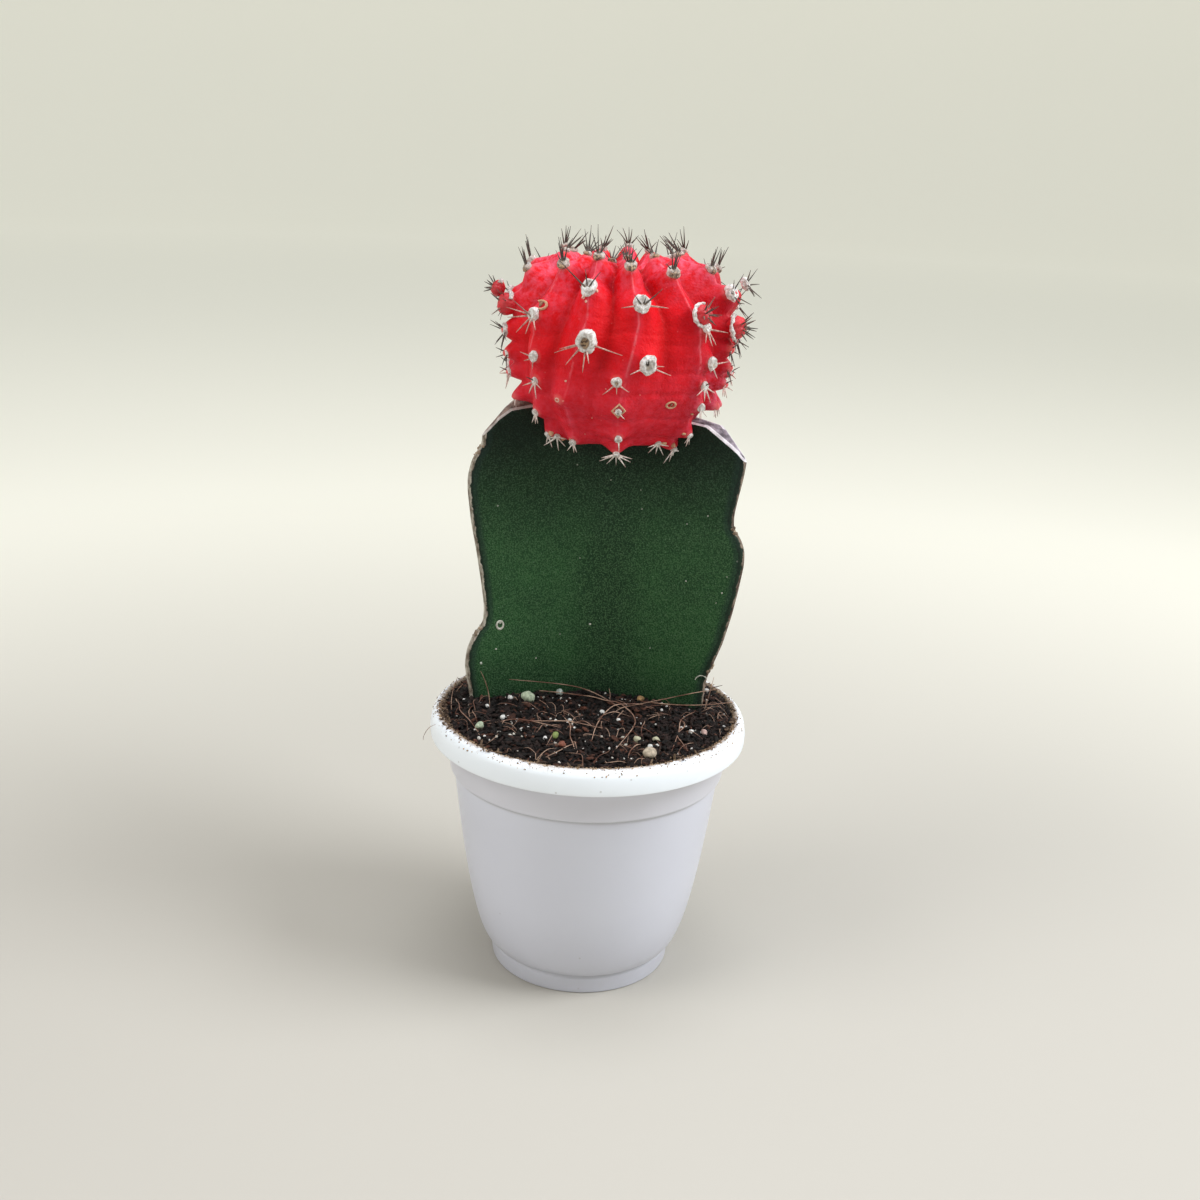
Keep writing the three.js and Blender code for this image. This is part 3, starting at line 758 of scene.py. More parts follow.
def makeKnobs():
    # Corky areoles at the notches of the wings, and dust on the face
    random = makeRandom(31)
    items = []
    for wing in wings:
        turn = math.radians(wing["turn"])
        for z in wing["notches"]:
            for _ in range(corkKnobs["count"]):
                height = z + corkKnobs["spread"] * random(-1, 1)
                reach = easedReach(wing, height) - random(*corkKnobs["sunk"])
                x, y = onWing(turn, reach, random(*corkKnobs["aside"]))
                r = random(corkKnobs["low"], corkKnobs["high"])
                items.append((Vector((x, y, height)), (r, 0.7 * r, 0.8 * r), anyTurn(random), random()))
    for px, py, r in stemSpecks:
        point, _ = seenAt(stemSurface, px, py)
        items.append((point, (r, 0.8 * r, r), anyTurn(random), corkKnobs["speckShade"]))
    bm = lumps(items)
    marks = [bm.verts.layers.float["shade"]]
    for ring in stemRings:
        ringOn(bm, marks, stemSurface, ring)
    finishPiece("stemKnobs", bm, "rootstock", [cork()])


def arcTube(bm, marks, matrix, ring):
    # A tube along a circle, or along a part of it that runs clockwise from the matrix's Y axis
    count = len(bm.verts)
    start, end = math.radians(ring.get("start", 0)), math.radians(ring.get("end", 360))
    section = bmesh.ops.create_circle(bm, segments=6, radius=ring["tube"])["verts"]
    stand = Matrix.Translation((0, ring["r"], 0)) @ Matrix.Rotation(math.pi / 2, 4, "Y")
    bmesh.ops.transform(bm, matrix=Matrix.Rotation(-start, 4, "Z") @ stand, verts=section)
    geom = section + list({edge for vert in section for edge in vert.link_edges})
    closed = end - start > fullTurn - 0.01
    steps = ring.get("steps", 18)
    bmesh.ops.spin(bm, geom=geom, axis=(0, 0, 1), angle=start - end, steps=steps, use_merge=closed)
    bm.verts.ensure_lookup_table()
    if closed:
        bmesh.ops.remove_doubles(bm, verts=bm.verts[count:], dist=1e-4)
    else:
        bmesh.ops.holes_fill(bm, edges=[edge for edge in bm.edges if edge.is_boundary], sides=0)
    bm.verts.ensure_lookup_table()
    made = bm.verts[count:]
    bmesh.ops.recalc_face_normals(bm, faces=list({face for vert in made for face in vert.link_faces}))
    squeeze = Matrix.Diagonal((1, ring.get("squash", 1), 1, 1))
    bmesh.ops.transform(bm, matrix=matrix @ squeeze, verts=made)
    for vert in made:
        vert[marks[0]] = ring["shade"]
    return made


def ringOn(bm, marks, surface, ring):
    # A little raised ring that lies on a surface where the photograph shows it
    point, out = seenAt(surface, *ring["px"])
    arcTube(bm, marks, facing(point, out, Vector((0, 0, 1))), ring)


def cork():
    material, tree, place = newMaterial("cork")
    shade = marked(tree, "shade")
    colour = layered(
        tree, mixed(tree, stretched(tree, shade, 0, 1), (0.10, 0.065, 0.035), (0.46, 0.36, 0.26)),
        (stretched(tree, shade, 1.2, 1.5), (0.62, 0.64, 0.56)),
        (mottle(tree, place, 0.6, 4, 2), (0.16, 0.11, 0.08), 0.5),
    )
    return painted(material, colour, (shade, 0.8, 0.9), mottle(tree, place, 0.5, 4), 0.1)


makeKnobs()


# Potting mix: coconut fibre and peat crumbs, white grains, small stones and loose root fibres

mix = {
    "edgeR": 36.3, "edgeZ": 68.45, "mound": 2.5, "slopeWidth": 5.5, "frontY": -34, "frontRun": 30,
    "gap": 0.3, "rings": 60, "steps": 180, "sunk": 0.35, "fine": (0.4, 1.3), "coarse": (0.3, 3.5),
    "slack": 0.25,
}
crumbs = {
    "count": 6800, "short": 0.4, "long": 1.3, "low": -0.35, "lift": 0.5,
    "largeShare": 0.08, "largeTimes": 1.6, "wide": (0.22, 0.6), "thick": (0.18, 0.42),
    "pitch": 0.7, "lean": 0.8,
}
grains = {"count": 290, "small": 0.12, "large": 0.58, "lift": 0.12, "more": 0.25}
# Larger pieces: place, radius, and what they are
pebbles = [
    (-15.3, -2.2, 1.75, "pale green"), (-7.5, 2.6, 1.1, "grey"), (13.1, 0.2, 1.15, "tan"),
    (12, -22.2, 1.0, "cream"), (16.5, -21.9, 0.95, "cream"), (14.7, -29.0, 1.75, "beige"),
    (15, -25.4, 0.75, "white"), (-26.2, -18.3, 1.1, "pale green"), (-7.7, -21.9, 1.0, "green"),
    (-5.9, -26.1, 1.0, "rust"), (-20.9, -13.6, 0.8, "white"), (-19.9, -1.7, 0.75, "white"),
    (-25.3, -7.4, 0.6, "white"), (-10.1, -23.1, 0.65, "white"), (28.4, -16.3, 0.95, "pink"),
    (25.2, -17.1, 0.75, "white"), (30.4, 9, 0.8, "white"), (3.4, -8.6, 0.7, "white"),
    (7.5, -12.5, 0.6, "white"), (-4.5, -13.5, 0.55, "white"), (-28.5, 6, 0.7, "white"),
    (20, 24, 1.1, "beige"),
    (-14, 27, 1.2, "cream"), (4, 33, 0.9, "white"), (-24, 17, 0.9, "tan"), (27, 15, 0.7, "white"),
]
pebbleColours = {
    "white": (0.84, 0.83, 0.80), "cream": (0.62, 0.60, 0.42), "beige": (0.62, 0.52, 0.40),
    "grey": (0.44, 0.50, 0.46), "tan": (0.42, 0.25, 0.11), "pale green": (0.50, 0.58, 0.42),
    "green": (0.26, 0.33, 0.10), "rust": (0.30, 0.10, 0.06), "pink": (0.62, 0.42, 0.38),
}
# Root fibres: points across the mix, how far the middle arches up, and the radius, in millimetres
longFibres = [
    (
        [
            (-19, 2), (-13, 3.4), (-7, 1.6), (-2, 0.2), (2.9, -2.6), (7.2, -3.6), (11.1, -9.2), (11.5, -16.5),
            (6.5, -28.6),
        ],
        1.0, 0.12,
    ),
    ([(0.7, -22.2), (3, -13.1), (7.2, -6.1), (12.6, -3.8), (16.5, -6.5)], 1.3, 0.11),
    ([(-6.5, -10.2), (-4.4, -17), (-4.2, -24), (-2.7, -29.8)], 0.9, 0.1),
    ([(-34.2, 1.2), (-32.4, -6), (-31.1, -11.4), (-25.8, -21.8)], 1.0, 0.11),
    ([(-20, -14), (-12, -16.5), (-4, -15.5), (4.5, -17.5)], 0.8, 0.11),
    ([(20, -26), (22.5, -18), (23, -11), (28, -4.5)], 1.0, 0.11),
    ([(-9.5, -32), (-5.5, -28.5), (-2.2, -24.5)], 0.7, 0.1),
    ([(9.5, -31), (10.8, -27), (12.6, -23.6)], 0.7, 0.12),
    ([(24, -25), (21, -20), (24.5, -14), (22.5, -9)], 0.9, 0.11),
    ([(-24, -17), (-18, -14.2), (-10, -17.6), (-6, -16.8)], 0.7, 0.1),
    ([(-30, 14), (-20, 19), (-12, 27)], 0.9, 0.12),
    ([(9, 29), (19, 24), (28, 13)], 1.0, 0.12),
    ([(-22, 24), (-10, 31), (2, 31)], 1.0, 0.12),
]
# Fibres that lean up against the stem or stand off the mix: points with heights over it
raisedFibres = [
    ([(-27, -7.6, 9.5), (-25, -8.8, 6.5), (-24.4, -8.5, 2.5), (-24.6, -8.4, -0.4)], 0.1),
    ([(-20, -6.5, 7.2), (-12, -3, 5.4), (-5, 0, 4.0), (1.5, -1, 2.8), (8, -6, 0.5)], 0.1),
    ([(31, -4, 9), (30.2, -4.6, 5), (29.4, -4.2, 1), (29, -4, -0.5)], 0.1),
    ([(12.4, 0.4, 0.2), (14, -3.5, 1.4), (20, -8, 2.7), (28, -12, 4.7), (35.5, -12.5, 8.4)], 0.13),
    ([(7.2, -6.1, 0.4), (12.6, -7, 2.2), (19.7, -10, 5.4), (27, -13, 9), (31.5, -13.5, 11.4)], 0.1),
    ([(-31.5, -6, 5.5), (-33, -1, 3.2), (-34.5, 3, 0.5)], 0.11),
    ([(-34, 6, 4.2), (-35.5, 0, 2.0), (-34, -8, 0.2)], 0.11),
    ([(34, 4, 5.5), (33.2, 8.5, 3.4), (30.5, 13, 0)], 0.11),
    ([(5, -0.5, 3.4), (5.6, -0.8, 1.8), (5.2, -1, -0.3)], 0.1),
]
fibreShape = {
    "bevelSteps": 1, "pathSteps": 5, "order": 4, "endR": 0.55, "sway": 0.5, "over": 0.25, "onRim": 0.9,
}
tufts = {"count": 190, "long": 9.0, "r": 0.075, "points": 5, "bend": 0.7, "rise": 1.3, "fromWall": 0.8}
hairs = {
    "count": 40, "points": 4, "near": (36.9, 38.3), "within": (36.6, 38.5), "long": (1.2, 3.2), "bend": 0.5,
    "r": 0.05, "lift": 0.08, "wave": 0.12,
}
litter = {
    "crumbs": 1000, "small": 0.08, "large": 0.33, "frontShare": 0.7, "fromR": 36.75, "reach": 2.7,
    "innerR": 37.1, "innerDrop": 0.3, "outerR": 38.2, "outerSlope": 1.1, "spillR": 36.3, "spillReach": 2.2,
}
# Shreds that have spilled over the rim's edge: azimuth, spread in degrees and how many
spills = [(192, 22, 70), (-8, 16, 30), (-120, 30, 16), (-55, 25, 14)]
# A hair that hangs over the rim: its points and radius
rimHair = [
    (-37.0, -16.6, 69.5), (-38.4, -17.2, 69.25), (-39.7, -16.7, 67.2), (-40.2, -15.4, 65.4),
    (-40.3, -14.6, 64.4),
]
rimHairR = 0.06


def mixHeight(x, y):
    fromWall = smoothStep((mix["edgeR"] - math.hypot(x, y)) / mix["slopeWidth"])
    back = 0.2 + 0.8 * smoothStep((y - mix["frontY"]) / mix["frontRun"])
    return mix["edgeZ"] + mix["mound"] * back * fromWall


def onMix(x, y, over):
    return Vector((x, y, mixHeight(x, y) + over))


def insideStem(x, y, z, grow=0.0):
    for wing in wings:
        turn = math.radians(wing["turn"])
        dx, dy = x - stem["x"], y - stem["y"]
        along = dx * math.cos(turn) + dy * math.sin(turn)
        across = -dx * math.sin(turn) + dy * math.cos(turn)
        reach = between(wing["reach"], z)
        if 0 <= along < reach + grow and abs(across) < wingHalf(along, reach) + grow:
            return True
    return False


def mixBed():
    gap = mix["gap"]
    surface = [(mix["edgeR"] * (1 - i / mix["rings"]), mix["edgeZ"]) for i in range(mix["rings"] + 1)]
    bm = spun([(0, pot["floor"] + gap), *reversed(potInside(gap)), *surface], mix["steps"])
    (fine, fineSize), (coarse, coarseSize) = mix["fine"], mix["coarse"]
    for vert in bm.verts:
        x, y, z = vert.co
        if z > mix["edgeZ"] - 0.01 and math.hypot(x, y) < mix["edgeR"] - 0.1:
            level = mixHeight(x, y) - mix["sunk"] + fine * roughly(x, y, z, fineSize)
            vert.co.z = level + coarse * roughly(x, y, z, coarseSize)
    finishPiece("mixBed", bm, "potting_mix", [mixCrumb])


def crumbPlaces(random, count, most):
    # Places spread evenly over the mix, none of them inside the stem
    places = []
    while len(places) < count:
        x, y = polar(most * math.sqrt(random()), random(0, fullTurn))
        if not insideStem(x, y, mix["edgeZ"] + 2, -0.4):
            places.append((x, y))
    return places


def makeCrumbs():
    random = makeRandom(7)
    items = []
    for x, y in crumbPlaces(random, crumbs["count"], mix["edgeR"] - 0.1):
        long = random(crumbs["short"], crumbs["long"]) ** 1.25
        long *= crumbs["largeTimes"] if random() < crumbs["largeShare"] else 1
        size = (long, long * random(*crumbs["wide"]), long * random(*crumbs["thick"]))
        lie = Matrix.Rotation(random(0, fullTurn), 4, "Z")
        lie = lie @ Matrix.Rotation(random(-crumbs["pitch"], crumbs["pitch"]), 4, "Y")
        lie = lie @ Matrix.Rotation(random(-crumbs["lean"], crumbs["lean"]), 4, "X")
        items.append((onMix(x, y, random(crumbs["low"], crumbs["lift"]) - 0.1 * long), size, lie, random()))
    bm = lumps(items)
    keepInPot(bm)
    finishPiece("mixCrumbs", bm, "potting_mix", [mixCrumb], smooth=False)


def keepInPot(bm):
    # Pulls what would pass through the pot's wall back inside
    most = mix["edgeR"] + mix["slack"]
    for vert in bm.verts:
        r = vert.co.xy.length
        if r > most and vert.co.z < pot["rim"]["edgeZ"]:
            vert.co.x *= most / r
            vert.co.y *= most / r


def crumbSkin():
    material, tree, place = newMaterial("mixCrumb", {"Specular IOR Level": 0.35})
    shade = marked(tree, "shade")
    earth = mixed(tree, stretched(tree, shade, 0.2, 0.85), (0.002, 0.0012, 0.001), (0.025, 0.010, 0.0075))
    colour = layered(
        tree, earth,
        (stretched(tree, shade, 0.87, 1.0), (0.140, 0.050, 0.028)),
        (mottle(tree, place, 0.5, 4, 2), (0.012, 0.007, 0.006), 0.5),
    )
    strands = mottle(tree, placeInMm(tree, (1, 1, 2.5)), 0.35, 5, 2)
    return painted(material, colour, (mottle(tree, place, 1.5), 0.36, 0.8), strands, 0.12)


def makeGrains():
    random = makeRandom(11)
    items = []
    for x, y in crumbPlaces(random, grains["count"], mix["edgeR"] - 1):
        r = grains["small"] + (grains["large"] - grains["small"]) * random() ** 2
        size = (r, r * random(0.45, 1), r * random(0.4, 0.9))
        height = mixHeight(x, y) + grains["lift"] + random(0, grains["more"])
        items.append((Vector((x, y, height)), size, anyTurn(random), random()))
    finishPiece("whiteGrains", lumps(items), "potting_mix", [whiteGrain()], smooth=False)


def whiteGrain():
    material, tree, place = newMaterial("whiteGrain", lightThrough(0.15, (1, 1, 1), 0.4))
    white = mixed(tree, marked(tree, "shade"), (0.52, 0.50, 0.44), (0.88, 0.87, 0.85))
    pits = times(tree, mottle(tree, place, 0.25, 3, 2), 0.4)
    colour = mixed(tree, pits, white, (0.40, 0.34, 0.28))
    return painted(material, colour, (pits, 0.7, 0.9), mottle(tree, place, 0.25, 4), 0.06)


def makePebbles():
    random = makeRandom(17)
    bm = bmesh.new()
    kinds = list(pebbleColours)
    for x, y, r, kind in pebbles:
        size = (r, r * random(0.75, 0.95), r * random(0.7, 0.9))
        spin = Matrix.Rotation(random(0, fullTurn), 4, "Z")
        shift = Vector((len(bm.verts), 0, 0))
        middle = onMix(x, y, 0.5 * r)
        made = lump(bm, (), middle, size, spin, (), detail=3)
        for vert in made:
            vert.co += (vert.co - middle) * 0.28 * roughly(*(vert.co + shift), 0.8 * r)
        for face in {face for vert in made for face in vert.link_faces}:
            face.material_index = kinds.index(kind)
    finishPiece("mixPebbles", bm, "potting_mix", [pebbleStone(kind) for kind in kinds])


def pebbleStone(kind):
    material, tree, place = newMaterial("stone " + kind)
    base = pebbleColours[kind]
    dark = tuple(0.55 * side for side in base)
    colour = layered(
        tree, mixed(tree, mottle(tree, place, 0.7, 5, 1.6), dark, base),
        (specks(tree, place, 0.7, 0.16, 0.3), (0.10, 0.06, 0.04)),
    )
    return painted(material, colour, (mottle(tree, place, 1), 0.6, 0.85), mottle(tree, place, 0.4, 4), 0.1)


def newFibreCurve():
    curve = bpy.data.curves.new("rootFibres", "CURVE")
    curve.dimensions = "3D"
    curve.bevel_depth = mm
    curve.bevel_resolution = fibreShape["bevelSteps"]
    curve.resolution_u = fibreShape["pathSteps"]
    curve.use_fill_caps = True
    return curve


def addFibre(curve, points, r):
    # A tube through points, thinner at both ends
    spline = curve.splines.new("NURBS")
    spline.points.add(len(points) - 1)
    spline.order_u = fibreShape["order"]
    spline.use_endpoint_u = True
    for i, (target, point) in enumerate(zip(spline.points, points)):
        target.co = (*(Vector(point) * mm), 1)
        target.radius = r * (fibreShape["endR"] if i in (0, len(points) - 1) else 1)


def wavyPath(random, path, arch):
    # More points than the path has, with a small random sway, lying on the mix
    points = []
    for (x0, y0), (x1, y1) in zip(path, path[1:]):
        points += [(x0 + (x1 - x0) * t, y0 + (y1 - y0) * t) for t in (0, 0.5)]
    points.append(path[-1])
    last = len(points) - 1
    sway = fibreShape["sway"]
    placed = []
    for i, (x, y) in enumerate(points):
        x, y = x + random(-sway, sway), y + random(-sway, sway)
        onRim = fibreShape["onRim"] if math.hypot(x, y) > mix["edgeR"] - 0.4 else 0
        over = fibreShape["over"] + arch * math.sin(math.pi * i / last) if 0 < i < last else 0.1
        placed.append((x, y, mixHeight(x, y) + max(over, onRim) + random(-0.15, 0.15)))
    return placed


def tuftPath(random):
    # A short fibre of a few lengths; more of them start near the pot's wall
    x, y = polar(mix["edgeR"] * (1 - 0.75 * random() ** 1.6), random(0, fullTurn))
    last = tufts["points"] - 1
    step = tufts["long"] * random(0.25, 1) / last
    heading = random(0, fullTurn)
    points = []
    for i in range(tufts["points"]):
        heading += random(-tufts["bend"], tufts["bend"])
        if math.hypot(x, y) > mix["edgeR"] - tufts["fromWall"]:
            heading = math.atan2(-y, -x) + random(-0.9, 0.9)
        over = 0.3 + tufts["rise"] * math.sin(math.pi * i / last) * random(0.2, 1)
        points.append((x, y, mixHeight(x, y) + (over if i else -0.3)))
        x += step * math.cos(heading)
        y += step * math.sin(heading)
    return points


def hairPath(random):
    # A short hair shed over the rim's inner edge
    turn = random(0, fullTurn)
    x, y = polar(random(*hairs["near"]), turn)
    heading = turn + math.pi / 2 + random(-0.9, 0.9)
    step = random(*hairs["long"]) / (hairs["points"] - 1)
    points = []
    for i in range(hairs["points"]):
        points.append((x, y, pot["rim"]["topZ"] + hairs["lift"] + hairs["wave"] * (i % 2)))
        heading += random(-hairs["bend"], hairs["bend"])
        x += step * math.cos(heading)
        y += step * math.sin(heading)
    return points


def makeFibres():
    random = makeRandom(23)
    curve = newFibreCurve()
    for path, arch, r in longFibres:
        addFibre(curve, wavyPath(random, path, arch), r)
    for points, r in raisedFibres:
        addFibre(curve, [onMix(*point) for point in points], r)
    for _ in range(tufts["count"]):
        points = tuftPath(random)
        if not any(insideStem(*point) for point in points):
            addFibre(curve, points, tufts["r"] * random(0.5, 1.2))
    low, high = hairs["within"]
    for _ in range(hairs["count"]):
        points = hairPath(random)
        if all(low < math.hypot(x, y) < high for x, y, _ in points):
            addFibre(curve, points, hairs["r"])
    addFibre(curve, rimHair, rimHairR)
    tubes = newObject("rootFibreCurves", curve)
    bpy.context.view_layer.update()
    mesh = bpy.data.meshes.new_from_object(tubes.evaluated_get(bpy.context.evaluated_depsgraph_get()))
    bpy.data.objects.remove(tubes)
    mesh.materials.clear()
    dress("rootFibres", mesh, "potting_mix", [rootFibre()])


def rootFibre():
    material, tree, place = newMaterial("rootFibre")
    tone = mottle(tree, place, 6, 2, 2.2)
    colour = layered(
        tree, mixed(tree, tone, (0.17, 0.065, 0.04), (0.56, 0.37, 0.27)),
        (mottle(tree, place, 1, 4, 2), (0.12, 0.05, 0.035), 0.35),
    )
    return painted(material, colour, (tone, 0.55, 0.75), mottle(tree, place, 0.3, 3), 0.04)


def makeLitter():
    # Crumbs and dust that lie on the rim's inner edge, most of them at the front, and the spilled shreds
    random = makeRandom(41)
    topZ = pot["rim"]["topZ"]
    items = []
    for _ in range(litter["crumbs"]):
        turn = random(-math.pi, 0) if random() < litter["frontShare"] else random(0, math.pi)
        r = litter["fromR"] + litter["reach"] * random() ** 2.2
        outerDrop = litter["outerSlope"] * max(0, r - litter["outerR"])
        drop = litter["innerDrop"] if r < litter["innerR"] else outerDrop
        size = random(litter["small"], litter["large"])
        place = Vector((*polar(r, turn), topZ - drop + 0.3 * size))
        items.append((place, (size, 0.7 * size, 0.6 * size), anyTurn(random), random(0.2, 1)))
    for middle, spread, count in spills:
        for _ in range(count):
            turn = math.radians(middle + spread * (random() + random() - 1))
            r = litter["spillR"] + litter["spillReach"] * random() ** 2
            long = random(0.4, 1.2)
            place = Vector((*polar(r, turn), topZ + random(0, 0.5)))
            items.append((place, (long, 0.3 * long, 0.22 * long), anyTurn(random), random(0, 0.35)))
    finishPiece("rimLitter", lumps(items), "potting_mix", [litterDust()], smooth=False)


def litterDust():
    material, tree, place = newMaterial("litterDust")
    shade = marked(tree, "shade")
    colour = mixed(tree, shade, (0.035, 0.016, 0.01), (0.44, 0.30, 0.18))
    return painted(material, colour, (shade, 0.8, 0.9), mottle(tree, place, 0.2, 3), 0.03)


mixCrumb = crumbSkin()
mixBed()
makeCrumbs()
makeGrains()
makePebbles()
makeFibres()
makeLitter()


# Scion: the red ribbed globe

scion = {
    "x": 4, "y": 10, "columnsPerRib": 20, "rows": 170, "crestSharpness": 1.2, "profileSteps": 80, "poleR": 8,
}
scionProfile = [
    (0, 176.8), (6, 178.6), (12, 181), (17, 181.6), (22, 178.8), (25.9, 173.8), (28.1, 167.3), (28.3, 161.3),
    (27.4, 154.4), (26.3, 149.2), (23.9, 143.9), (20.4, 139.1), (16, 135.8), (10, 137.4), (0, 141.5),
]
# Depths of the furrows and notches by distance over the surface from the crown's middle
furrowDepth = [(0, 0.3), (8, 2), (18, 4.2), (25, 4.2), (34, 3), (42, 2), (50, 1.1), (72, 0.6), (80, 0)]
notchDepth = [(0, 0.2), (8, 1.6), (24, 2.0), (34, 1.3), (44, 1.1), (50, 1.4), (64, 1.6), (73, 2.0), (80, 0.5)]
bumpWidth = [(0, 2.4), (20, 2.8), (30, 3.3), (42, 3.2), (50, 2.5), (66, 2.4), (80, 2.4)]
creaseDepth = [(0, 0), (24, 0.1), (38, 0.2), (52, 0.28), (68, 0.22), (76, 0)]
# Side ribs stand out at their areoles and are notched between them
lobes = {"from": 26, "fade": 10, "to": 74, "out": 1.2, "notch": 1.3, "narrow": 0.85}
# A knob that stands out beside the right-hand offset
knob = {"turn": 76, "at": 32, "out": 5.6, "wide": 4.2}
# Creases run across a rib, half way between its areoles; a fine ridge runs along its crest
crease = {"wide": 0.55, "sway": 0.9, "swaySize": 5}
ridge = {"high": 0.3, "wide": 0.12, "fullFurrow": 4.2}
# Unevenness of the skin: depth and size, of which the middle one grows towards the crown
swells = {
    "large": (0.45, 9), "fine": (0.07, 1.2), "middleSize": 3.2, "middle": 0.2, "more": 0.35,
    "from": 32, "fade": 14,
}
turnAt = (22, 36, 56)
frontRibs = [
    {
        "turn": (-40, -46, -52), "areoles": (14, 22.7, 35.9, 45.5, 51.2, 59.8, 66.6),
        "aside": (0, 0, 0, 4, 5, 0, 0),
    },
    {"turn": (-19, -17, -30), "areoles": (9, 18.5, 28.5, 40.4, 55.2, 67.6), "aside": (0, 0, 0, 4, -3, -1)},
    {
        "turn": (4, 8, 0), "areoles": (12, 21.7, 31.7, 45.2, 49.4, 56.6, 64.7, 71),
        "aside": (0, 0, 2.3, 8.4, -4, 0, 1, 0),
    },
    {
        "turn": (29, 39, 47), "areoles": (15, 23.7, 37.2, 45.6, 50.8, 56.4, 65, 70.5),
        "aside": (0, 0, 3.5, 6, 1.5, 1.5, 6, 4),
    },
]
sideRibs = {
    "count": 9, "areoles": (14, 24, 34, 43.5, 51, 59, 69), "jitter": 1.1, "sway": 3, "stagger": 4,
    "upper": 43,
    # The ribs at the photographed outline, by their number among the side ribs
    "seen": {1: (14, 23.5, 30.5, 38.5, 43, 47.5, 51.5, 57), 9: (15, 25.5, 34.5, 41, 46.5, 51, 57)},
}


def makeProfile():
    # Points along the profile's curve: distance, and radius with height
    def at(i):
        return Vector(scionProfile[min(max(i, 0), len(scionProfile) - 1)])

    steps = scion["profileSteps"]
    points = []
    for span in range(len(scionProfile) - 1):
        start, end = at(span), at(span + 1)
        leave, arrive = (end - at(span - 1)) / 2, (at(span + 2) - start) / 2
        for step in range(steps):
            t = step / steps
            points.append(
                start + leave * t + (3 * (end - start) - 2 * leave - arrive) * t ** 2
                + (2 * (start - end) + leave + arrive) * t ** 3
            )
    points.append(at(len(scionProfile)))
    table = []
    distance = 0.0
    last = at(0)
    for point in points:
        distance += (point - last).length
        table.append((distance, point))
        last = point
    return table


profileTable = makeProfile()
profileDistances = [distance for distance, _ in profileTable]
profileLength = profileDistances[-1]


def profileAt(distance, turn):
    # Point on the plain profile at an azimuth, with its outward, upward and rightward directions
    along = min(max(distance, 0), profileLength - 1e-6)
    place = bisect_right(profileDistances, along)
    (start, here), (end, there) = profileTable[place - 1], profileTable[place]
    flat = here.lerp(there, (along - start) / max(end - start, 1e-9))
    slope = (there - here).normalized()
    a = math.radians(turn)

    def around(r, z):
        return Vector((r * math.sin(a), -r * math.cos(a), z))

    return {
        "r": flat[0],
        "point": around(*flat) + Vector((scion["x"], scion["y"], 0)),
        "normal": around(-slope[1], slope[0]),
        "up": around(-slope[0], -slope[1]),
        "right": Vector((math.cos(a), math.sin(a), 0)),
    }


def makeRibs():
    random = makeRandom(21)
    start = frontRibs[3]["turn"][1]
    pitch = (frontRibs[0]["turn"][1] + 360 - start) / (sideRibs["count"] + 1)
    sway, jitter = sideRibs["sway"], sideRibs["jitter"]
    ribs = list(frontRibs)
    for i in range(1, sideRibs["count"] + 1):
        middle = start + pitch * i
        turn = (middle, middle, middle + sway * random(-1, 1))
        areoles = []
        for at in sideRibs["areoles"]:
            lower = sideRibs["stagger"] if i % 2 and at < sideRibs["upper"] else 0
            areoles.append(at + lower + jitter * random(-1, 1))
        areoles = sideRibs["seen"].get(i, areoles)
        aside = [sway * random(-0.5, 0.5) for _ in areoles]
        ribs.append({"turn": turn, "areoles": areoles, "aside": aside})
    return ribs


ribs = makeRibs()


def ribTurn(rib, distance):
    return between(list(zip(turnAt, rib["turn"])), distance)


def ribAreoles(rib):
    return [(at, ribTurn(rib, at) + aside) for at, aside in zip(rib["areoles"], rib["aside"])]


def nearness(areoles, distance, turn, r, width):
    # How near a point is to an areole, from 0 to 1
    nearest = 0.0
    for at, areoleTurn in areoles:
        down = at - distance
        if abs(down) < 3 * width:
            aside = math.radians((areoleTurn - turn + 180) % 360 - 180) * r
            nearest = max(nearest, math.exp(-(down * down + aside * aside) / width ** 2))
    return nearest


def knobLift(distance, turn, r):
    return knob["out"] * nearness([(knob["at"], knob["turn"])], distance, turn, r, knob["wide"])


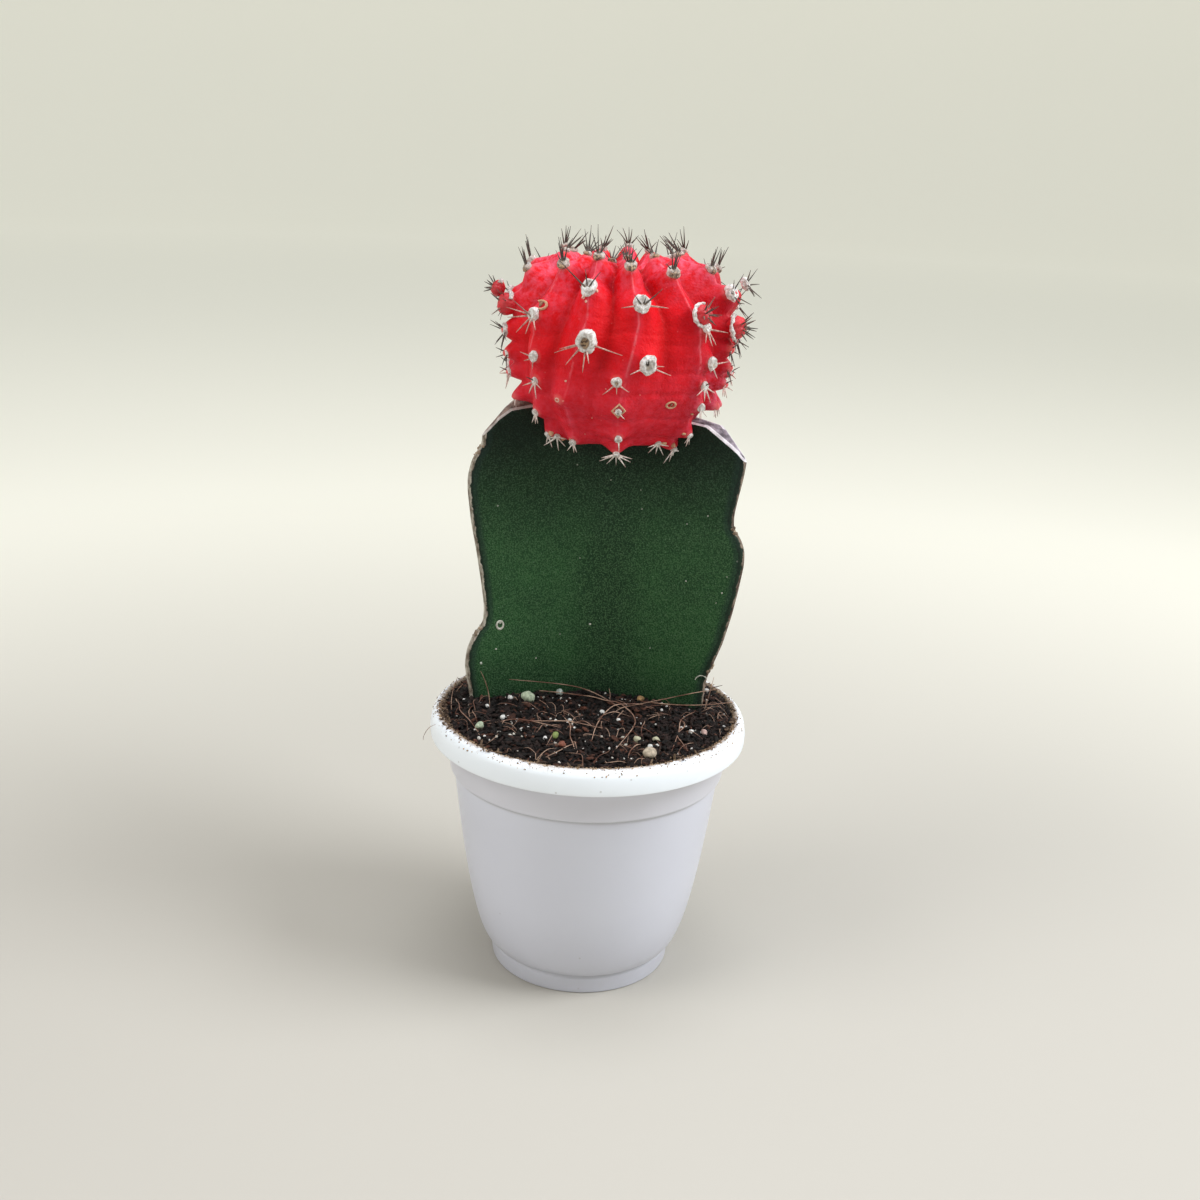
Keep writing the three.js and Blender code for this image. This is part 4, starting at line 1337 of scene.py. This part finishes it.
def scionBody():
    columns = scion["columnsPerRib"] * len(ribs)
    rows = scion["rows"]
    bm = bmesh.new()
    bmesh.ops.create_uvsphere(bm, u_segments=columns, v_segments=rows, radius=1)
    marks = {name: bm.verts.layers.float.new(name) for name in ("crest", "areole", "down")}
    perRib = [ribAreoles(rib) for rib in ribs]
    middles = [[(a + b) / 2 for a, b in zip(rib["areoles"], rib["areoles"][1:])] for rib in ribs]
    (large, largeSize), (fine, fineSize) = swells["large"], swells["fine"]
    for vert in bm.verts:
        row = round(math.acos(min(max(vert.co.z, -1), 1)) / math.pi * rows)
        distance = profileLength * row / rows
        column = round(math.atan2(vert.co.y, vert.co.x) / fullTurn * columns) % columns
        i, step = divmod(column, scion["columnsPerRib"])
        j = (i + 1) % len(ribs)
        across = step / scion["columnsPerRib"]
        start = ribTurn(ribs[i], distance)
        end = ribTurn(ribs[j], distance) + (360 if j == 0 else 0)
        turn = start + (end - start) * across
        place = profileAt(distance, turn)
        fromCrest = 2 * min(across, 1 - across)
        onSide = (1 - across) * (i >= len(frontRibs)) + across * (j >= len(frontRibs))
        lobe = onSide * smoothStep((distance - lobes["from"]) / lobes["fade"])
        lobe *= smoothStep((lobes["to"] - distance) / lobes["fade"])
        width = between(bumpWidth, distance) * (1 - (1 - lobes["narrow"]) * lobe)
        bump = nearness(perRib[i] + perRib[j], distance, turn, place["r"], width)
        furrow = between(furrowDepth, distance)
        depth = (furrow * fromCrest ** scion["crestSharpness"] + between(notchDepth, distance)) * (1 - bump)
        depth += lobe * (lobes["notch"] * (1 - bump) - lobes["out"] * bump)
        depth -= knobLift(distance, turn, place["r"])
        x, y, z = place["point"]
        sway = crease["sway"] * roughly(x, y, z, crease["swaySize"])
        for line in middles[i if across < 0.5 else j]:
            off = (distance + sway - line) / crease["wide"]
            if abs(off) < 3:
                depth += between(creaseDepth, distance) * math.exp(-off * off) * (1 - bump)
        middle = swells["middle"] + swells["more"] * smoothStep((swells["from"] - distance) / swells["fade"])
        swell = large * roughly(x, y, z, largeSize) + middle * roughly(x, y, z, swells["middleSize"])
        swell += fine * roughly(x, y, z, fineSize)
        raised = ridge["high"] * math.exp(-(fromCrest / ridge["wide"]) ** 2) * (1 - bump) * furrow
        raised /= ridge["fullFurrow"]
        pole = min(1, place["r"] / scion["poleR"])
        vert.co = place["point"] + place["normal"] * ((swell * (1 - 0.7 * bump) + raised) * pole - depth)
        vert[marks["crest"]] = 1 - fromCrest
        vert[marks["areole"]] = bump
        vert[marks["down"]] = distance / profileLength
    bmesh.ops.recalc_face_normals(bm, faces=bm.faces)
    return bm


def scionSkin():
    material, tree, place = newMaterial("scionSkin", {
        "Specular IOR Level": 0.1, **lightThrough(0.2, (1, 0.12, 0.1), 1.6),
    })
    crest, areole, down = marked(tree, "crest"), marked(tree, "areole"), marked(tree, "down")
    side = sidesOf(tree, place)[0]
    clouds = mottle(tree, place, 7, 4, 1.4)
    red = mixed(tree, clouds, (0.62, 0.003, 0.007), (0.77, 0.009, 0.016))
    crimson = mixed(tree, clouds, (0.55, 0.011, 0.022), (0.69, 0.020, 0.036))
    lower = stretched(tree, down, 0.44, 0.66)
    # Pale waxy bloom, stronger low down at both sides, and painted sheen on the crown, on the crests and on
    # the upper left shoulder
    left = stretched(tree, side, -17, -24, 0.15, 1.5)
    right = stretched(tree, side, 18, 29, 0.35, 2.4)
    flanks = times(tree, lower, reckoned(tree, "MAXIMUM", left, right))
    shoulder = times(tree, stretched(tree, side, 0, -15), stretched(tree, down, 0.48, 0.34, 0, 0.9))
    crown = stretched(tree, down, 0.40, 0.14, 0.12, 2.6)
    onRibs = times(tree, crown, stretched(tree, crest, 0.1, 0.75, 0.3, 1.0))
    bloomAndSheen = times(tree, mottle(tree, place, 1.7, 6, 2.0), plus(tree, plus(tree, flanks, shoulder), onRibs))
    # A broken pale line along each crest, in a broader pale band
    broken = times(tree, stretched(tree, mottle(tree, place, 2.4, 5, 1.5), 0.15, 0.6), 0.75)
    shown = times(tree, broken, stretched(tree, down, 0.6, 0.5, 0.3, 1.0))
    line = times(tree, stretched(tree, crest, 0.93, 1.0), shown)
    band = times(tree, stretched(tree, crest, 0.74, 1.0), mottle(tree, place, 6, 4, 2.4))
    scratches = specks(tree, placeInMm(tree, (1, 1, 0.3)), 5, 0.05, 0.35)
    colour = layered(
        tree, red,
        # Painted shade: darker red in the furrows between the crests
        (stretched(tree, crest, 0.45, 0.0), (0.46, 0.001, 0.002), 0.75),
        # Painted shade: deeper crimson low on the globe
        (lower, crimson, 0.9),
        # Painted shade: darker on the right flank
        (stretched(tree, side, 12, 26), (0.42, 0.004, 0.012), 0.75),
        # Pale bloom and painted sheen
        (bloomAndSheen, (0.80, 0.17, 0.28), 0.22),
        (specks(tree, place, 1.5, 0.14, 0.3), (0.86, 0.26, 0.26), 0.16),
        (band, (0.80, 0.14, 0.24), 0.13),
        (line, (0.84, 0.24, 0.28), 0.45),
        (scratches, (0.90, 0.50, 0.45), 0.5),
        (stretched(tree, areole, 0.6, 0.95), (0.80, 0.24, 0.22), 0.4),
    )
    fine = mottle(tree, place, 0.55, 4, 1.6)
    wrinkles = plus(tree, fine, times(tree, mottle(tree, place, 2.2, 3), 2.5))
    return painted(material, colour, (fine, 0.40, 0.55), wrinkles, 0.045)


def makeScion():
    bm = scionBody()
    surface = BVHTree.FromBMesh(bm)
    finishPiece("scionBody", bm, "scion", [scionSkin()])
    return surface


scionSurface = makeScion()

# Wool by zone: last distance of the zone, the pad's radius, and how white it is
woolZones = [(20, (1.05, 0.5)), (27, (1.25, 0.52)), (43, (1.6, 0.95)), (54, (1.1, 0.9)), (90, (0.85, 0.85))]
wool = {
    "hairs": 14, "hairR": 0.05, "hairTip": 0.3, "hairLong": 1.1, "fullPad": 2.1, "hollow": 0.5, "fineTo": 54,
    "edge": (0.76, 0.24), "rise": 0.52, "lip": 0.36, "dip": 0.3,
}
# Pads that the photograph shows clearly, by rib and place on it: radius, height over width, how hollow
frontPads = {
    (0, 1): (1.45, 1.15, 0.2), (0, 2): (1.55, 1.05, 0.4), (0, 3): (1.15, 1.2, 0.5), (0, 4): (0.85, 1.1, 0.3),
    (1, 1): (1.3, 1.2, 0.2), (1, 2): (1.8, 1.2, 0.2), (1, 3): (2.4, 1.15, 1.0), (2, 1): (1.4, 1.2, 0.2),
    (2, 2): (1.95, 1.12, 0.45), (2, 3): (1.95, 1.2, 0.5), (2, 4): (1.2, 1.0, 0.6), (2, 5): (0.8, 1.0, 0.5),
    (2, 6): (0.95, 1.0, 0.5), (3, 1): (1.6, 1.05, 0.3), (3, 2): (1.15, 1.1, 0.2), (3, 3): (1.3, 1.3, 0.5),
    (3, 4): (1.0, 1.2, 0.4), (3, 5): (1.0, 1.1, 0.4),
}
# Areoles that have lost their wool and spines
bare = [(1, 4)]
# Tufts at the globe's lower edge, as pixels of the photograph
fringe = [(557, 436), (658, 443)]
# Spines by zone: last distance, each spine as direction round the areole (0 to the crown), rise from the
# surface, length, and how dark it is
spineZones = [
    (27, [(-32, 56, 5.0, 1), (-10, 66, 5.8, 1), (14, 58, 5.4, 1), (38, 50, 4.6, 1), (-64, 46, 3.6, 1)]),
    (43, [(-88, 20, 5.6, 0.35), (92, 20, 5.6, 0.35), (-146, 22, 4.8, 0.2), (150, 22, 4.6, 0.2),
          (-44, 42, 4.2, 1), (40, 44, 4.6, 1), (180, 18, 3.6, 0.15)]),
    (54, [(-108, 20, 4.0, 0.15), (106, 20, 4.0, 0.15), (168, 20, 3.4, 0.1), (-160, 24, 3.0, 0.1),
          (-20, 50, 2.4, 0.9)]),
    (68, [(-140, 30, 2.4, 0.05), (150, 30, 2.4, 0.05), (184, 26, 2.6, 0.1)]),
    (90, [(-84, 18, 2.8, 0), (-122, 26, 3.6, 0), (174, 34, 3.0, 0), (136, 26, 3.8, 0), (88, 20, 2.8, 0)]),
]
# Areoles of the front ribs whose spines the photograph shows one by one, by rib and place on it
frontSpines = {
    (0, 2): [(-62, 22, 5.4, 0.6), (-84, 14, 7.4, 0.3), (-104, 14, 6.4, 0.25), (-150, 18, 5.2, 0.2),
             (178, 18, 4.2, 0.2), (134, 20, 4.4, 0.2)],
    (0, 3): [(-60, 30, 3.0, 0.3), (-112, 22, 2.2, 0.2), (178, 18, 2.2, 0.2)],
    (1, 2): [(-58, 26, 8.6, 0.9), (-4, 40, 4.0, 1), (42, 34, 4.6, 1), (-168, 16, 2.4, 0.1)],
    (1, 3): [(-112, 12, 7.6, 0.3), (-104, 14, 6.0, 0.3), (101, 12, 7.8, 0.25), (-139, 16, 6.8, 0.2),
             (179, 16, 6.0, 0.2), (166, 22, 4.0, 0.15)],
    (2, 2): [(-104, 14, 4.6, 0.3), (98, 14, 5.4, 0.3), (52, 30, 5.4, 1), (-42, 36, 2.8, 1), (20, 55, 2.2, 1)],
    (2, 3): [(-108, 16, 4.4, 0.1), (86, 16, 3.4, 0.2), (112, 16, 4.8, 0.15), (-34, 40, 3.2, 1),
             (-14, 44, 2.6, 1)],
    (2, 4): [(-130, 18, 3.5, 0.2), (118, 18, 3.2, 0.2), (178, 20, 2.2, 0.2)],
    (2, 5): [(128, 24, 2.0, 0.1), (-70, 40, 1.2, 0.1)],
    (2, 6): [(170, 22, 3.0, 0.05)],
    (2, 7): [(-84, 16, 3.6, 0), (-110, 22, 3.8, 0), (-140, 30, 3.2, 0), (176, 36, 2.8, 0), (142, 28, 4.4, 0),
             (110, 22, 3.4, 0), (70, 22, 3.6, 0), (-60, 26, 2.6, 0)],
    (3, 3): [(84, 20, 4.2, 0.2), (160, 20, 3.0, 0.1), (-150, 24, 1.6, 0.1)],
}
# Offsets: azimuth, distance from the crown's middle, radius, how many dark spines they carry, how far out
# they stand, and where the collar of wool round the foot starts and ends, clockwise from the crown's side
pups = [
    (40, 34.4, 2.3, 10, 0.7, (-186, 16)), (66, 38, 2.7, 13, 0.8, (-165, -15)),
    (-74, 35.2, 2.6, 2, 0.3, (-130, 60)), (-86, 33, 1.9, 9, 2.7, (-150, 40)),
    (150, 36, 2.7, 10, 0.8, (20, 250)), (-148, 39, 2.6, 10, 0.8, (-60, 150)),
]
pupShape = {
    "columns": 56, "rows": 26, "plain": 0.94, "rib": 0.10, "ribTurns": 3.5, "rough": 0.05, "roughSize": 1.1,
    "tall": 0.95, "dimple": 0.16, "dimpleR": 0.3, "apart": 9,
}
pupSpines = {"step": 137.5, "inner": 0.15, "spread": 0.6, "steep": 75, "flat": 50, "long": 0.95, "r": 0.27}
collars = {"r": 1.08, "tube": 0.52, "steps": 26, "shade": 0.95}
spineShape = {"root": 0.8, "r": 0.3, "tip": 0.2, "sides": 6, "cuts": 4, "bend": 0.13, "darkThick": 0.85}
# The areole on the knob, from the knob's middle, and areoles of the globe's lower edge
knobAreole = {"at": -2, "turn": 4}
fringeAt = 80


def zoneAt(zones, distance):
    return next(value for last, value in zones if distance < last)


def direction(place, turn, rise):
    t, lift = math.radians(turn), math.radians(rise)
    flat = place["up"] * math.cos(t) + place["right"] * math.sin(t)
    return flat * math.cos(lift) + place["normal"] * math.sin(lift)


def pointing(heading):
    # Turns a shape's Z axis to a heading
    return heading.to_track_quat("Z", "Y").to_matrix().to_4x4()


def spine(bm, marks, root, heading, length, r, bend, dark):
    # A tapered cone from its buried root to its tip, cut into lengths and bent towards bend
    sink = spineShape["root"]
    count = len(bm.verts)
    made = bmesh.ops.create_cone(
        bm, segments=spineShape["sides"], radius1=r, radius2=r * spineShape["tip"], depth=length + sink,
        cap_ends=True,
    )["verts"]
    edges = {edge for vert in made for edge in vert.link_edges}
    long = [edge for edge in edges if edge.calc_length() > length / 2]
    bmesh.ops.subdivide_edges(bm, edges=long, cuts=spineShape["cuts"])
    bm.verts.ensure_lookup_table()
    turn = pointing(heading)
    for vert in bm.verts[count:]:
        along = vert.co.z + (length - sink) / 2
        t = max(along, 0) / length
        vert[marks[0]] = dark
        vert[marks[1]] = t
        vert.co = root + turn @ Vector((vert.co.x, vert.co.y, along)) + bend * (t * t * length)


def placeOn(at, turn):
    # Place on the profile, lifted where the knob lifts the skin
    place = profileAt(at, turn)
    place["point"] = place["point"] + place["normal"] * knobLift(at, turn, place["r"])
    return place


def raisedOn(place, out):
    return facing(place["point"] + place["normal"] * out, place["normal"], place["up"])


def areoleList():
    # Each areole with its distance, azimuth, place, and its rib and number on the rib
    found = []

    def add(at, turn, place, *key):
        found.append({"at": at, "turn": turn, "place": place, "key": key})

    for i, rib in enumerate(ribs):
        for j, (at, turn) in enumerate(ribAreoles(rib)):
            if (i, j) not in bare:
                add(at, turn, placeOn(at, turn), i, j)
    at, turn = knob["at"] + knobAreole["at"], knob["turn"] + knobAreole["turn"]
    add(at, turn, placeOn(at, turn), len(frontRibs), "knob")
    for px, py in fringe:
        point, out = seenAt(scionSurface, px, py)
        right = Vector((0, 0, 1)).cross(out).normalized()
        place = {"point": point, "normal": out, "right": right, "up": out.cross(right)}
        add(fringeAt, 0, place, len(frontRibs), "fringe")
    return found


areoles = areoleList()


def woolPad(part, marks, one):
    # A cottony dome with a brown hollow, whose raised edge is an arch that opens away from the crown
    matrix, r, tall, white, detail, hollowed = one
    edgeAt, edgeWide = wool["edge"]
    made = bmesh.ops.create_icosphere(part, subdivisions=detail, radius=1)["verts"]
    for vert in made:
        x, y, z = vert.co
        ring = math.exp(-((math.hypot(x, y) - edgeAt) / edgeWide) ** 2)
        below = smoothStep((-0.3 - y) / 0.5)
        hollow = hollowed * math.exp(-(math.hypot(x, y + 0.12) / wool["hollow"]) ** 4) if z > 0 else 0
        rise = wool["rise"] + wool["lip"] * ring * (1 - 0.8 * below) - wool["dip"] * hollow
        at = matrix @ Vector((x * r, y * r, z * r))
        fluff = 1 + 0.2 * roughly(*at, 1.2) + 0.08 * roughly(*at, 0.4)
        vert.co = Vector((x * fluff, y * tall * fluff, z * rise * fluff)) * r
        vert[marks[0]] = white * (1 - 0.95 * hollow) - 0.2 * below
    bmesh.ops.transform(part, matrix=matrix, verts=made)


def woolHair(part, marks, one):
    root, heading, length, shade = one
    made = bmesh.ops.create_cone(
        part, segments=3, radius1=wool["hairR"], radius2=wool["hairR"] * wool["hairTip"], depth=length,
        cap_ends=True, matrix=Matrix.Translation(root + heading * length / 2) @ pointing(heading),
    )["verts"]
    for vert in made:
        vert[marks[0]] = shade


def makeWool():
    random = makeRandom(51)
    pads, strands = [], []
    for areole in areoles:
        place = areole["place"]
        known, white = zoneAt(woolZones, areole["at"])
        usual = (known * random(0.88, 1.12), random(1.0, 1.25), 0.35)
        r, tall, hollowed = frontPads.get(areole["key"], usual)
        middle = place["point"] + place["normal"] * 0.08 * r
        turn = Matrix.Rotation(math.radians(random(-15, 15)), 4, "Z")
        matrix = facing(middle, place["normal"], place["up"]) @ turn
        detail = 4 if areole["at"] < wool["fineTo"] else 3
        pads.append((matrix, r, tall, white * random(0.92, 1.05), detail, hollowed))
        for _ in range(wool["hairs"]):
            turn = random(-180, 180)
            root = middle + direction(place, turn, 0) * r * random(0.3, 0.85) + place["normal"] * 0.25 * r
            heading = direction(place, turn + random(-50, 50), random(15, 70))
            length = wool["hairLong"] * random(0.5, 1) * r / wool["fullPad"]
            strands.append((root, heading, length, white * random(0.6, 1)))
    bm = inBatches(pads, woolPad, ("shade",), 20)
    marks = [bm.verts.layers.float["shade"]]
    for turn, at, r, _, out, (start, end) in pups:
        place = placeOn(at, turn)
        collar = {**collars, "r": collars["r"] * r, "start": start, "end": end}
        for vert in arcTube(bm, marks, raisedOn(place, out), collar):
            sway = place["up"] * 0.3 * roughly(*vert.co, 0.5)
            vert.co += place["normal"] * 0.5 * roughly(*vert.co, 0.8) + sway
    finishPiece("woolPads", bm, "scion", [woolFelt])
    finishPiece("woolHairs", inBatches(strands, woolHair, ("shade",)), "scion", [woolFelt])


def feltSkin():
    material, tree, place = newMaterial("woolFelt", {
        "Sheen Weight": 0.3, **lightThrough(0.2, (1, 0.9, 0.8), 0.5),
    })
    brown = mixed(tree, mottle(tree, place, 0.5, 3, 3), (0.07, 0.035, 0.022), (0.48, 0.32, 0.19))
    white = mixed(tree, mottle(tree, place, 0.8, 5, 2.2), (0.50, 0.45, 0.42), (0.92, 0.90, 0.89))
    colour = layered(
        tree, brown,
        (stretched(tree, marked(tree, "shade"), 0.3, 0.65), white),
        (specks(tree, place, 0.95, 0.28, 0.25), (0.07, 0.05, 0.04), 0.5),
    )
    strands = mottle(tree, placeInMm(tree, (1, 1, 0.5)), 0.22, 4, 2)
    return painted(material, colour, (strands, 0.75, 0.95), strands, 0.09)


def makeSpines():
    random = makeRandom(61)
    items = []
    hidden = pupAreoles()
    for areole in areoles:
        place, key = areole["place"], areole["key"]
        up, right, out = place["up"], place["right"], place["normal"]
        r = zoneAt(woolZones, areole["at"])[0]
        known = frontSpines.get(key)
        loose = 3 if known else 12
        for turn, rise, length, dark in known or zoneAt(spineZones, areole["at"]):
            if key in hidden and abs(turn) < 90:
                continue
            turn += random(-loose, loose)
            rise += random(-5, 5)
            length *= random(0.95, 1.05) if known else random(0.75, 1.15)
            # Dark ones stand out of the wool, pale ones lie along the skin
            low, high = (0.4, 0.5) if known and dark > 0.5 else (0.2, 0.25)
            root = place["point"] + direction(place, turn, 0) * 0.35 * r - up * low * r
            root += out * high * r
            bend = out * spineShape["bend"] * random(-1, 0.6) + right * random(-0.1, 0.1)
            # Spines that stand against the light at the sides look dark
            if key[0] >= len(frontRibs) and areole["at"] < 48:
                dark = max(dark, 0.8)
            thick = spineShape["r"] * (spineShape["darkThick"] if dark > 0.5 else 1) * random(0.85, 1.1)
            items.append((root, direction(place, turn, rise), length, thick, bend, dark * random(0.8, 1)))
    for turn, at, r, count, out, _ in pups:
        place = placeOn(at, turn)
        tip = place["point"] + place["normal"] * (out + 0.85 * r)
        for i in range(count):
            around = pupSpines["step"] * i
            spread = pupSpines["inner"] + pupSpines["spread"] * (i / max(count - 1, 1))
            root = tip + direction(place, around, 0) * spread * r
            root -= place["normal"] * 0.3 * r * spread * spread
            heading = direction(place, around, pupSpines["steep"] - pupSpines["flat"] * spread)
            length = pupSpines["long"] * r * random(0.7, 1.3)
            items.append((root, heading, length, pupSpines["r"], Vector(), random(0.5, 1)))
    bm = inBatches(items, lambda part, marks, one: spine(part, marks, *one), ("dark", "along"), 80)
    finishPiece("spines", bm, "scion", [spineHorn()])


def pupAreoles():
    # Areoles that an offset grows out of
    return {
        areole["key"] for areole in areoles for turn, at, *_ in pups
        if abs(areole["at"] - at) < 4 and abs(areole["turn"] - turn) < 9
    }


def spineHorn():
    material, tree, place = newMaterial("spineHorn", {"Specular IOR Level": 0.5})
    dark, along = marked(tree, "dark"), marked(tree, "along")
    streaks = mottle(tree, placeInMm(tree, (1, 1, 0.5)), 0.5, 3, 1.5)
    white = mixed(tree, streaks, (0.46, 0.38, 0.34), (0.90, 0.85, 0.81))
    pink = mixed(tree, streaks, (0.30, 0.12, 0.10), (0.80, 0.51, 0.44))
    grey = mixed(tree, streaks, (0.012, 0.008, 0.006), (0.10, 0.075, 0.06))
    rooted = mixed(tree, stretched(tree, along, 0.2, 0.0), grey, (0.24, 0.18, 0.13))
    colour = layered(
        tree, white,
        (stretched(tree, dark, 0.02, 0.2), pink),
        (stretched(tree, along, 0.55, 1.0), (0.42, 0.22, 0.18), 0.45),
        (stretched(tree, dark, 0.08, 0.75), rooted),
    )
    return painted(material, colour, (streaks, 0.4, 0.6), mottle(tree, place, 0.3, 3), 0.03)


def makePups():
    # Small ribbed globes; their collars of wool and their spines are made with the globe's
    whole = bmesh.new()
    for number, (turn, at, r, _, out, _) in enumerate(pups):
        apart = Vector((pupShape["apart"] * number, 0, 0))
        bm = bmesh.new()
        bmesh.ops.create_uvsphere(bm, u_segments=pupShape["columns"], v_segments=pupShape["rows"], radius=1)
        for vert in bm.verts:
            x, y, level = vert.co
            flat = vert.co.xy.length
            rib = pupShape["rib"] * flat * abs(math.cos(pupShape["ribTurns"] * math.atan2(y, x))) ** 0.7
            dimple = pupShape["dimple"] * math.exp(-(flat / pupShape["dimpleR"]) ** 2) if level > 0 else 0
            rough = pupShape["rough"] * roughly(*(vert.co * r + apart), pupShape["roughSize"])
            grow = r * (pupShape["plain"] + rib + rough)
            vert.co = Vector((x * grow, y * grow, (level * pupShape["tall"] - dimple) * grow))
        bmesh.ops.transform(bm, matrix=raisedOn(placeOn(at, turn), out), verts=bm.verts)
        addTo(whole, bm)
    finishPiece("pups", whole, "scion", [pupSkin()])


def pupSkin():
    material, tree, place = newMaterial("pupSkin", lightThrough(0.2, (1, 0.2, 0.25), 1.2))
    clouds = mottle(tree, place, 2.5, 4, 1.5)
    colour = layered(
        tree, mixed(tree, clouds, (0.46, 0.004, 0.012), (0.66, 0.010, 0.020)),
        (mottle(tree, place, 1.5, 5, 2), (0.75, 0.25, 0.30), 0.08),
    )
    return painted(material, colour, (clouds, 0.4, 0.55), mottle(tree, place, 0.6, 4), 0.08)


# Old scars, as pixels of the photograph: rings, and the brown bits in and beside them
scionRings = [
    {"px": (557, 400), "r": 0.42, "tube": 0.16, "shade": 0.9},
    {"px": (671, 405), "r": 1.15, "tube": 0.3, "shade": 0.55, "squash": 0.7},
    {"px": (618.5, 411), "r": 1.55, "tube": 0.27, "shade": 0.5, "steps": 4},
    {"px": (541, 305), "r": 1.35, "tube": 0.38, "shade": 0.5, "squash": 0.8, "start": -40, "end": 190},
]
scionBits = [
    (671, 405, 0.55, 0.1), (541, 304, 0.7, 0.15), (566, 381, 0.34, 1), (563, 401, 0.2, 0.9),
    (551, 433, 0.8, 0.45), (563, 438, 0.7, 0.5), (571, 440, 0.5, 0.4), (664, 443, 0.8, 0.45),
    (673, 445, 0.8, 0.4), (684, 434, 0.6, 0.5), (692, 414, 0.5, 0.5), (606, 389, 0.16, 1),
    (592, 418, 0.14, 1), (640, 395, 0.14, 1), (585, 434, 0.15, 1),
    (584, 297, 0.6, 1), (586, 301, 0.4, 1), (597, 291, 0.5, 1),
]


def makeScars():
    random = makeRandom(71)
    bm = bmesh.new()
    marks = [bm.verts.layers.float.new("shade")]
    for ring in scionRings:
        ringOn(bm, marks, scionSurface, ring)
    for px, py, r, shade in scionBits:
        point, _ = seenAt(scionSurface, px, py)
        made = lump(bm, marks, point, (r, 0.75 * r, 0.5 * r), anyTurn(random), (shade,), detail=3)
        for vert in made:
            vert.co += (vert.co - point) * 0.35 * roughly(*vert.co, 0.6)
    finishPiece("scars", bm, "scion", [scarTissue()])


def scarTissue():
    material, tree, place = newMaterial("scarTissue")
    shade = marked(tree, "shade")
    colour = layered(
        tree, mixed(tree, stretched(tree, shade, 0, 0.5), (0.16, 0.07, 0.04), (0.60, 0.36, 0.22)),
        (stretched(tree, shade, 0.5, 1), (0.86, 0.52, 0.42)),
        (mottle(tree, place, 0.5, 4, 2), (0.34, 0.14, 0.08), 0.4),
    )
    return painted(material, colour, (shade, 0.75, 0.9), mottle(tree, place, 0.4, 4), 0.08)


woolFelt = feltSkin()
makeWool()
makeSpines()
makePups()
makeScars()


# Floor and light: plain and pale, in metres

studio = {
    "floorR": 2.6, "wallR": 3.4, "wallHigh": 1.6, "bendSteps": 8, "steps": 96,
    "floorColour": (0.51, 0.485, 0.438), "lighter": 1.03, "cloudSize": 400,
    "glow": (0.80, 0.81, 0.71), "glowMiddle": -0.25, "glowFrom": 0.27, "glowTo": 0.78, "glowStrength": 0.6,
    "world": (0.94, 0.97, 1.0), "worldStrength": 0.12,
    "lamps": [
        {"name": "above", "place": (0.0, 0.0, 1.0), "size": 0.8, "power": 5.5, "colour": (0.97, 0.985, 1.0)},
        {"name": "right", "place": (0.6, -0.15, 0.65), "size": 0.5, "power": 6.2, "colour": (0.94, 0.97, 1)},
        {"name": "left", "place": (-0.6, -0.3, 0.6), "size": 0.5, "power": 2.5, "colour": (1.0, 0.99, 0.98)},
    ],
    "aim": (0, 0, 0.1),
}


def makeFloor():
    # A wide disc whose far edge curves up into a low pale wall
    profile = [(0, 0), (studio["floorR"], 0)]
    rise = studio["wallR"] - studio["floorR"]
    for i in range(1, studio["bendSteps"] + 1):
        a = math.pi / 2 * i / studio["bendSteps"]
        profile.append((studio["floorR"] + rise * math.sin(a), rise * (1 - math.cos(a))))
    profile.append((studio["wallR"], studio["wallHigh"]))
    mesh = newMesh("studioFloor", sweptRound(profile, studio["steps"], 1e-5))
    mesh.polygons.foreach_set("use_smooth", [True] * len(mesh.polygons))
    mesh.materials.append(floorPaint())
    floor = newObject("studioFloor", mesh)


def floorPaint():
    material, tree, place = newMaterial("floorPaint", {"Emission Strength": studio["glowStrength"]})
    clouds = mottle(tree, place, studio["cloudSize"], 2)
    # The far floor and the wall glow a little, so that the backdrop stays pale out of the lamps' reach
    fore = (0, studio["glowMiddle"] / mm, 0)
    away = node(tree, "VectorMath", {0: place, 1: fore}, operation="DISTANCE").outputs["Value"]
    far = stretched(tree, away, studio["glowFrom"] / mm, studio["glowTo"] / mm)
    glow = mixed(tree, far, (0, 0, 0), studio["glow"])
    tree.links.new(glow, shaderOf(tree).inputs["Emission Color"])
    lighter = tuple(studio["lighter"] * side for side in studio["floorColour"])
    colour = mixed(tree, clouds, studio["floorColour"], lighter)
    return painted(material, colour, (clouds, 0.75, 0.8))


def makeLight():
    world = bpy.data.worlds.new("studioWorld")
    world.use_nodes = True
    sky = world.node_tree.nodes["Background"]
    sky.inputs["Color"].default_value = (*studio["world"], 1)
    sky.inputs["Strength"].default_value = studio["worldStrength"]
    scene.world = world
    for lamp in studio["lamps"]:
        data = bpy.data.lights.new(lamp["name"], "AREA")
        data.shape = "DISK"
        data.size = lamp["size"]
        data.energy = lamp["power"]
        data.color = lamp["colour"]
        light = newObject(lamp["name"], data)
        light.location = lamp["place"]
        toAim = Vector(studio["aim"]) - Vector(lamp["place"])
        light.rotation_euler = toAim.to_track_quat("-Z", "Y").to_euler()


makeFloor()
makeLight()
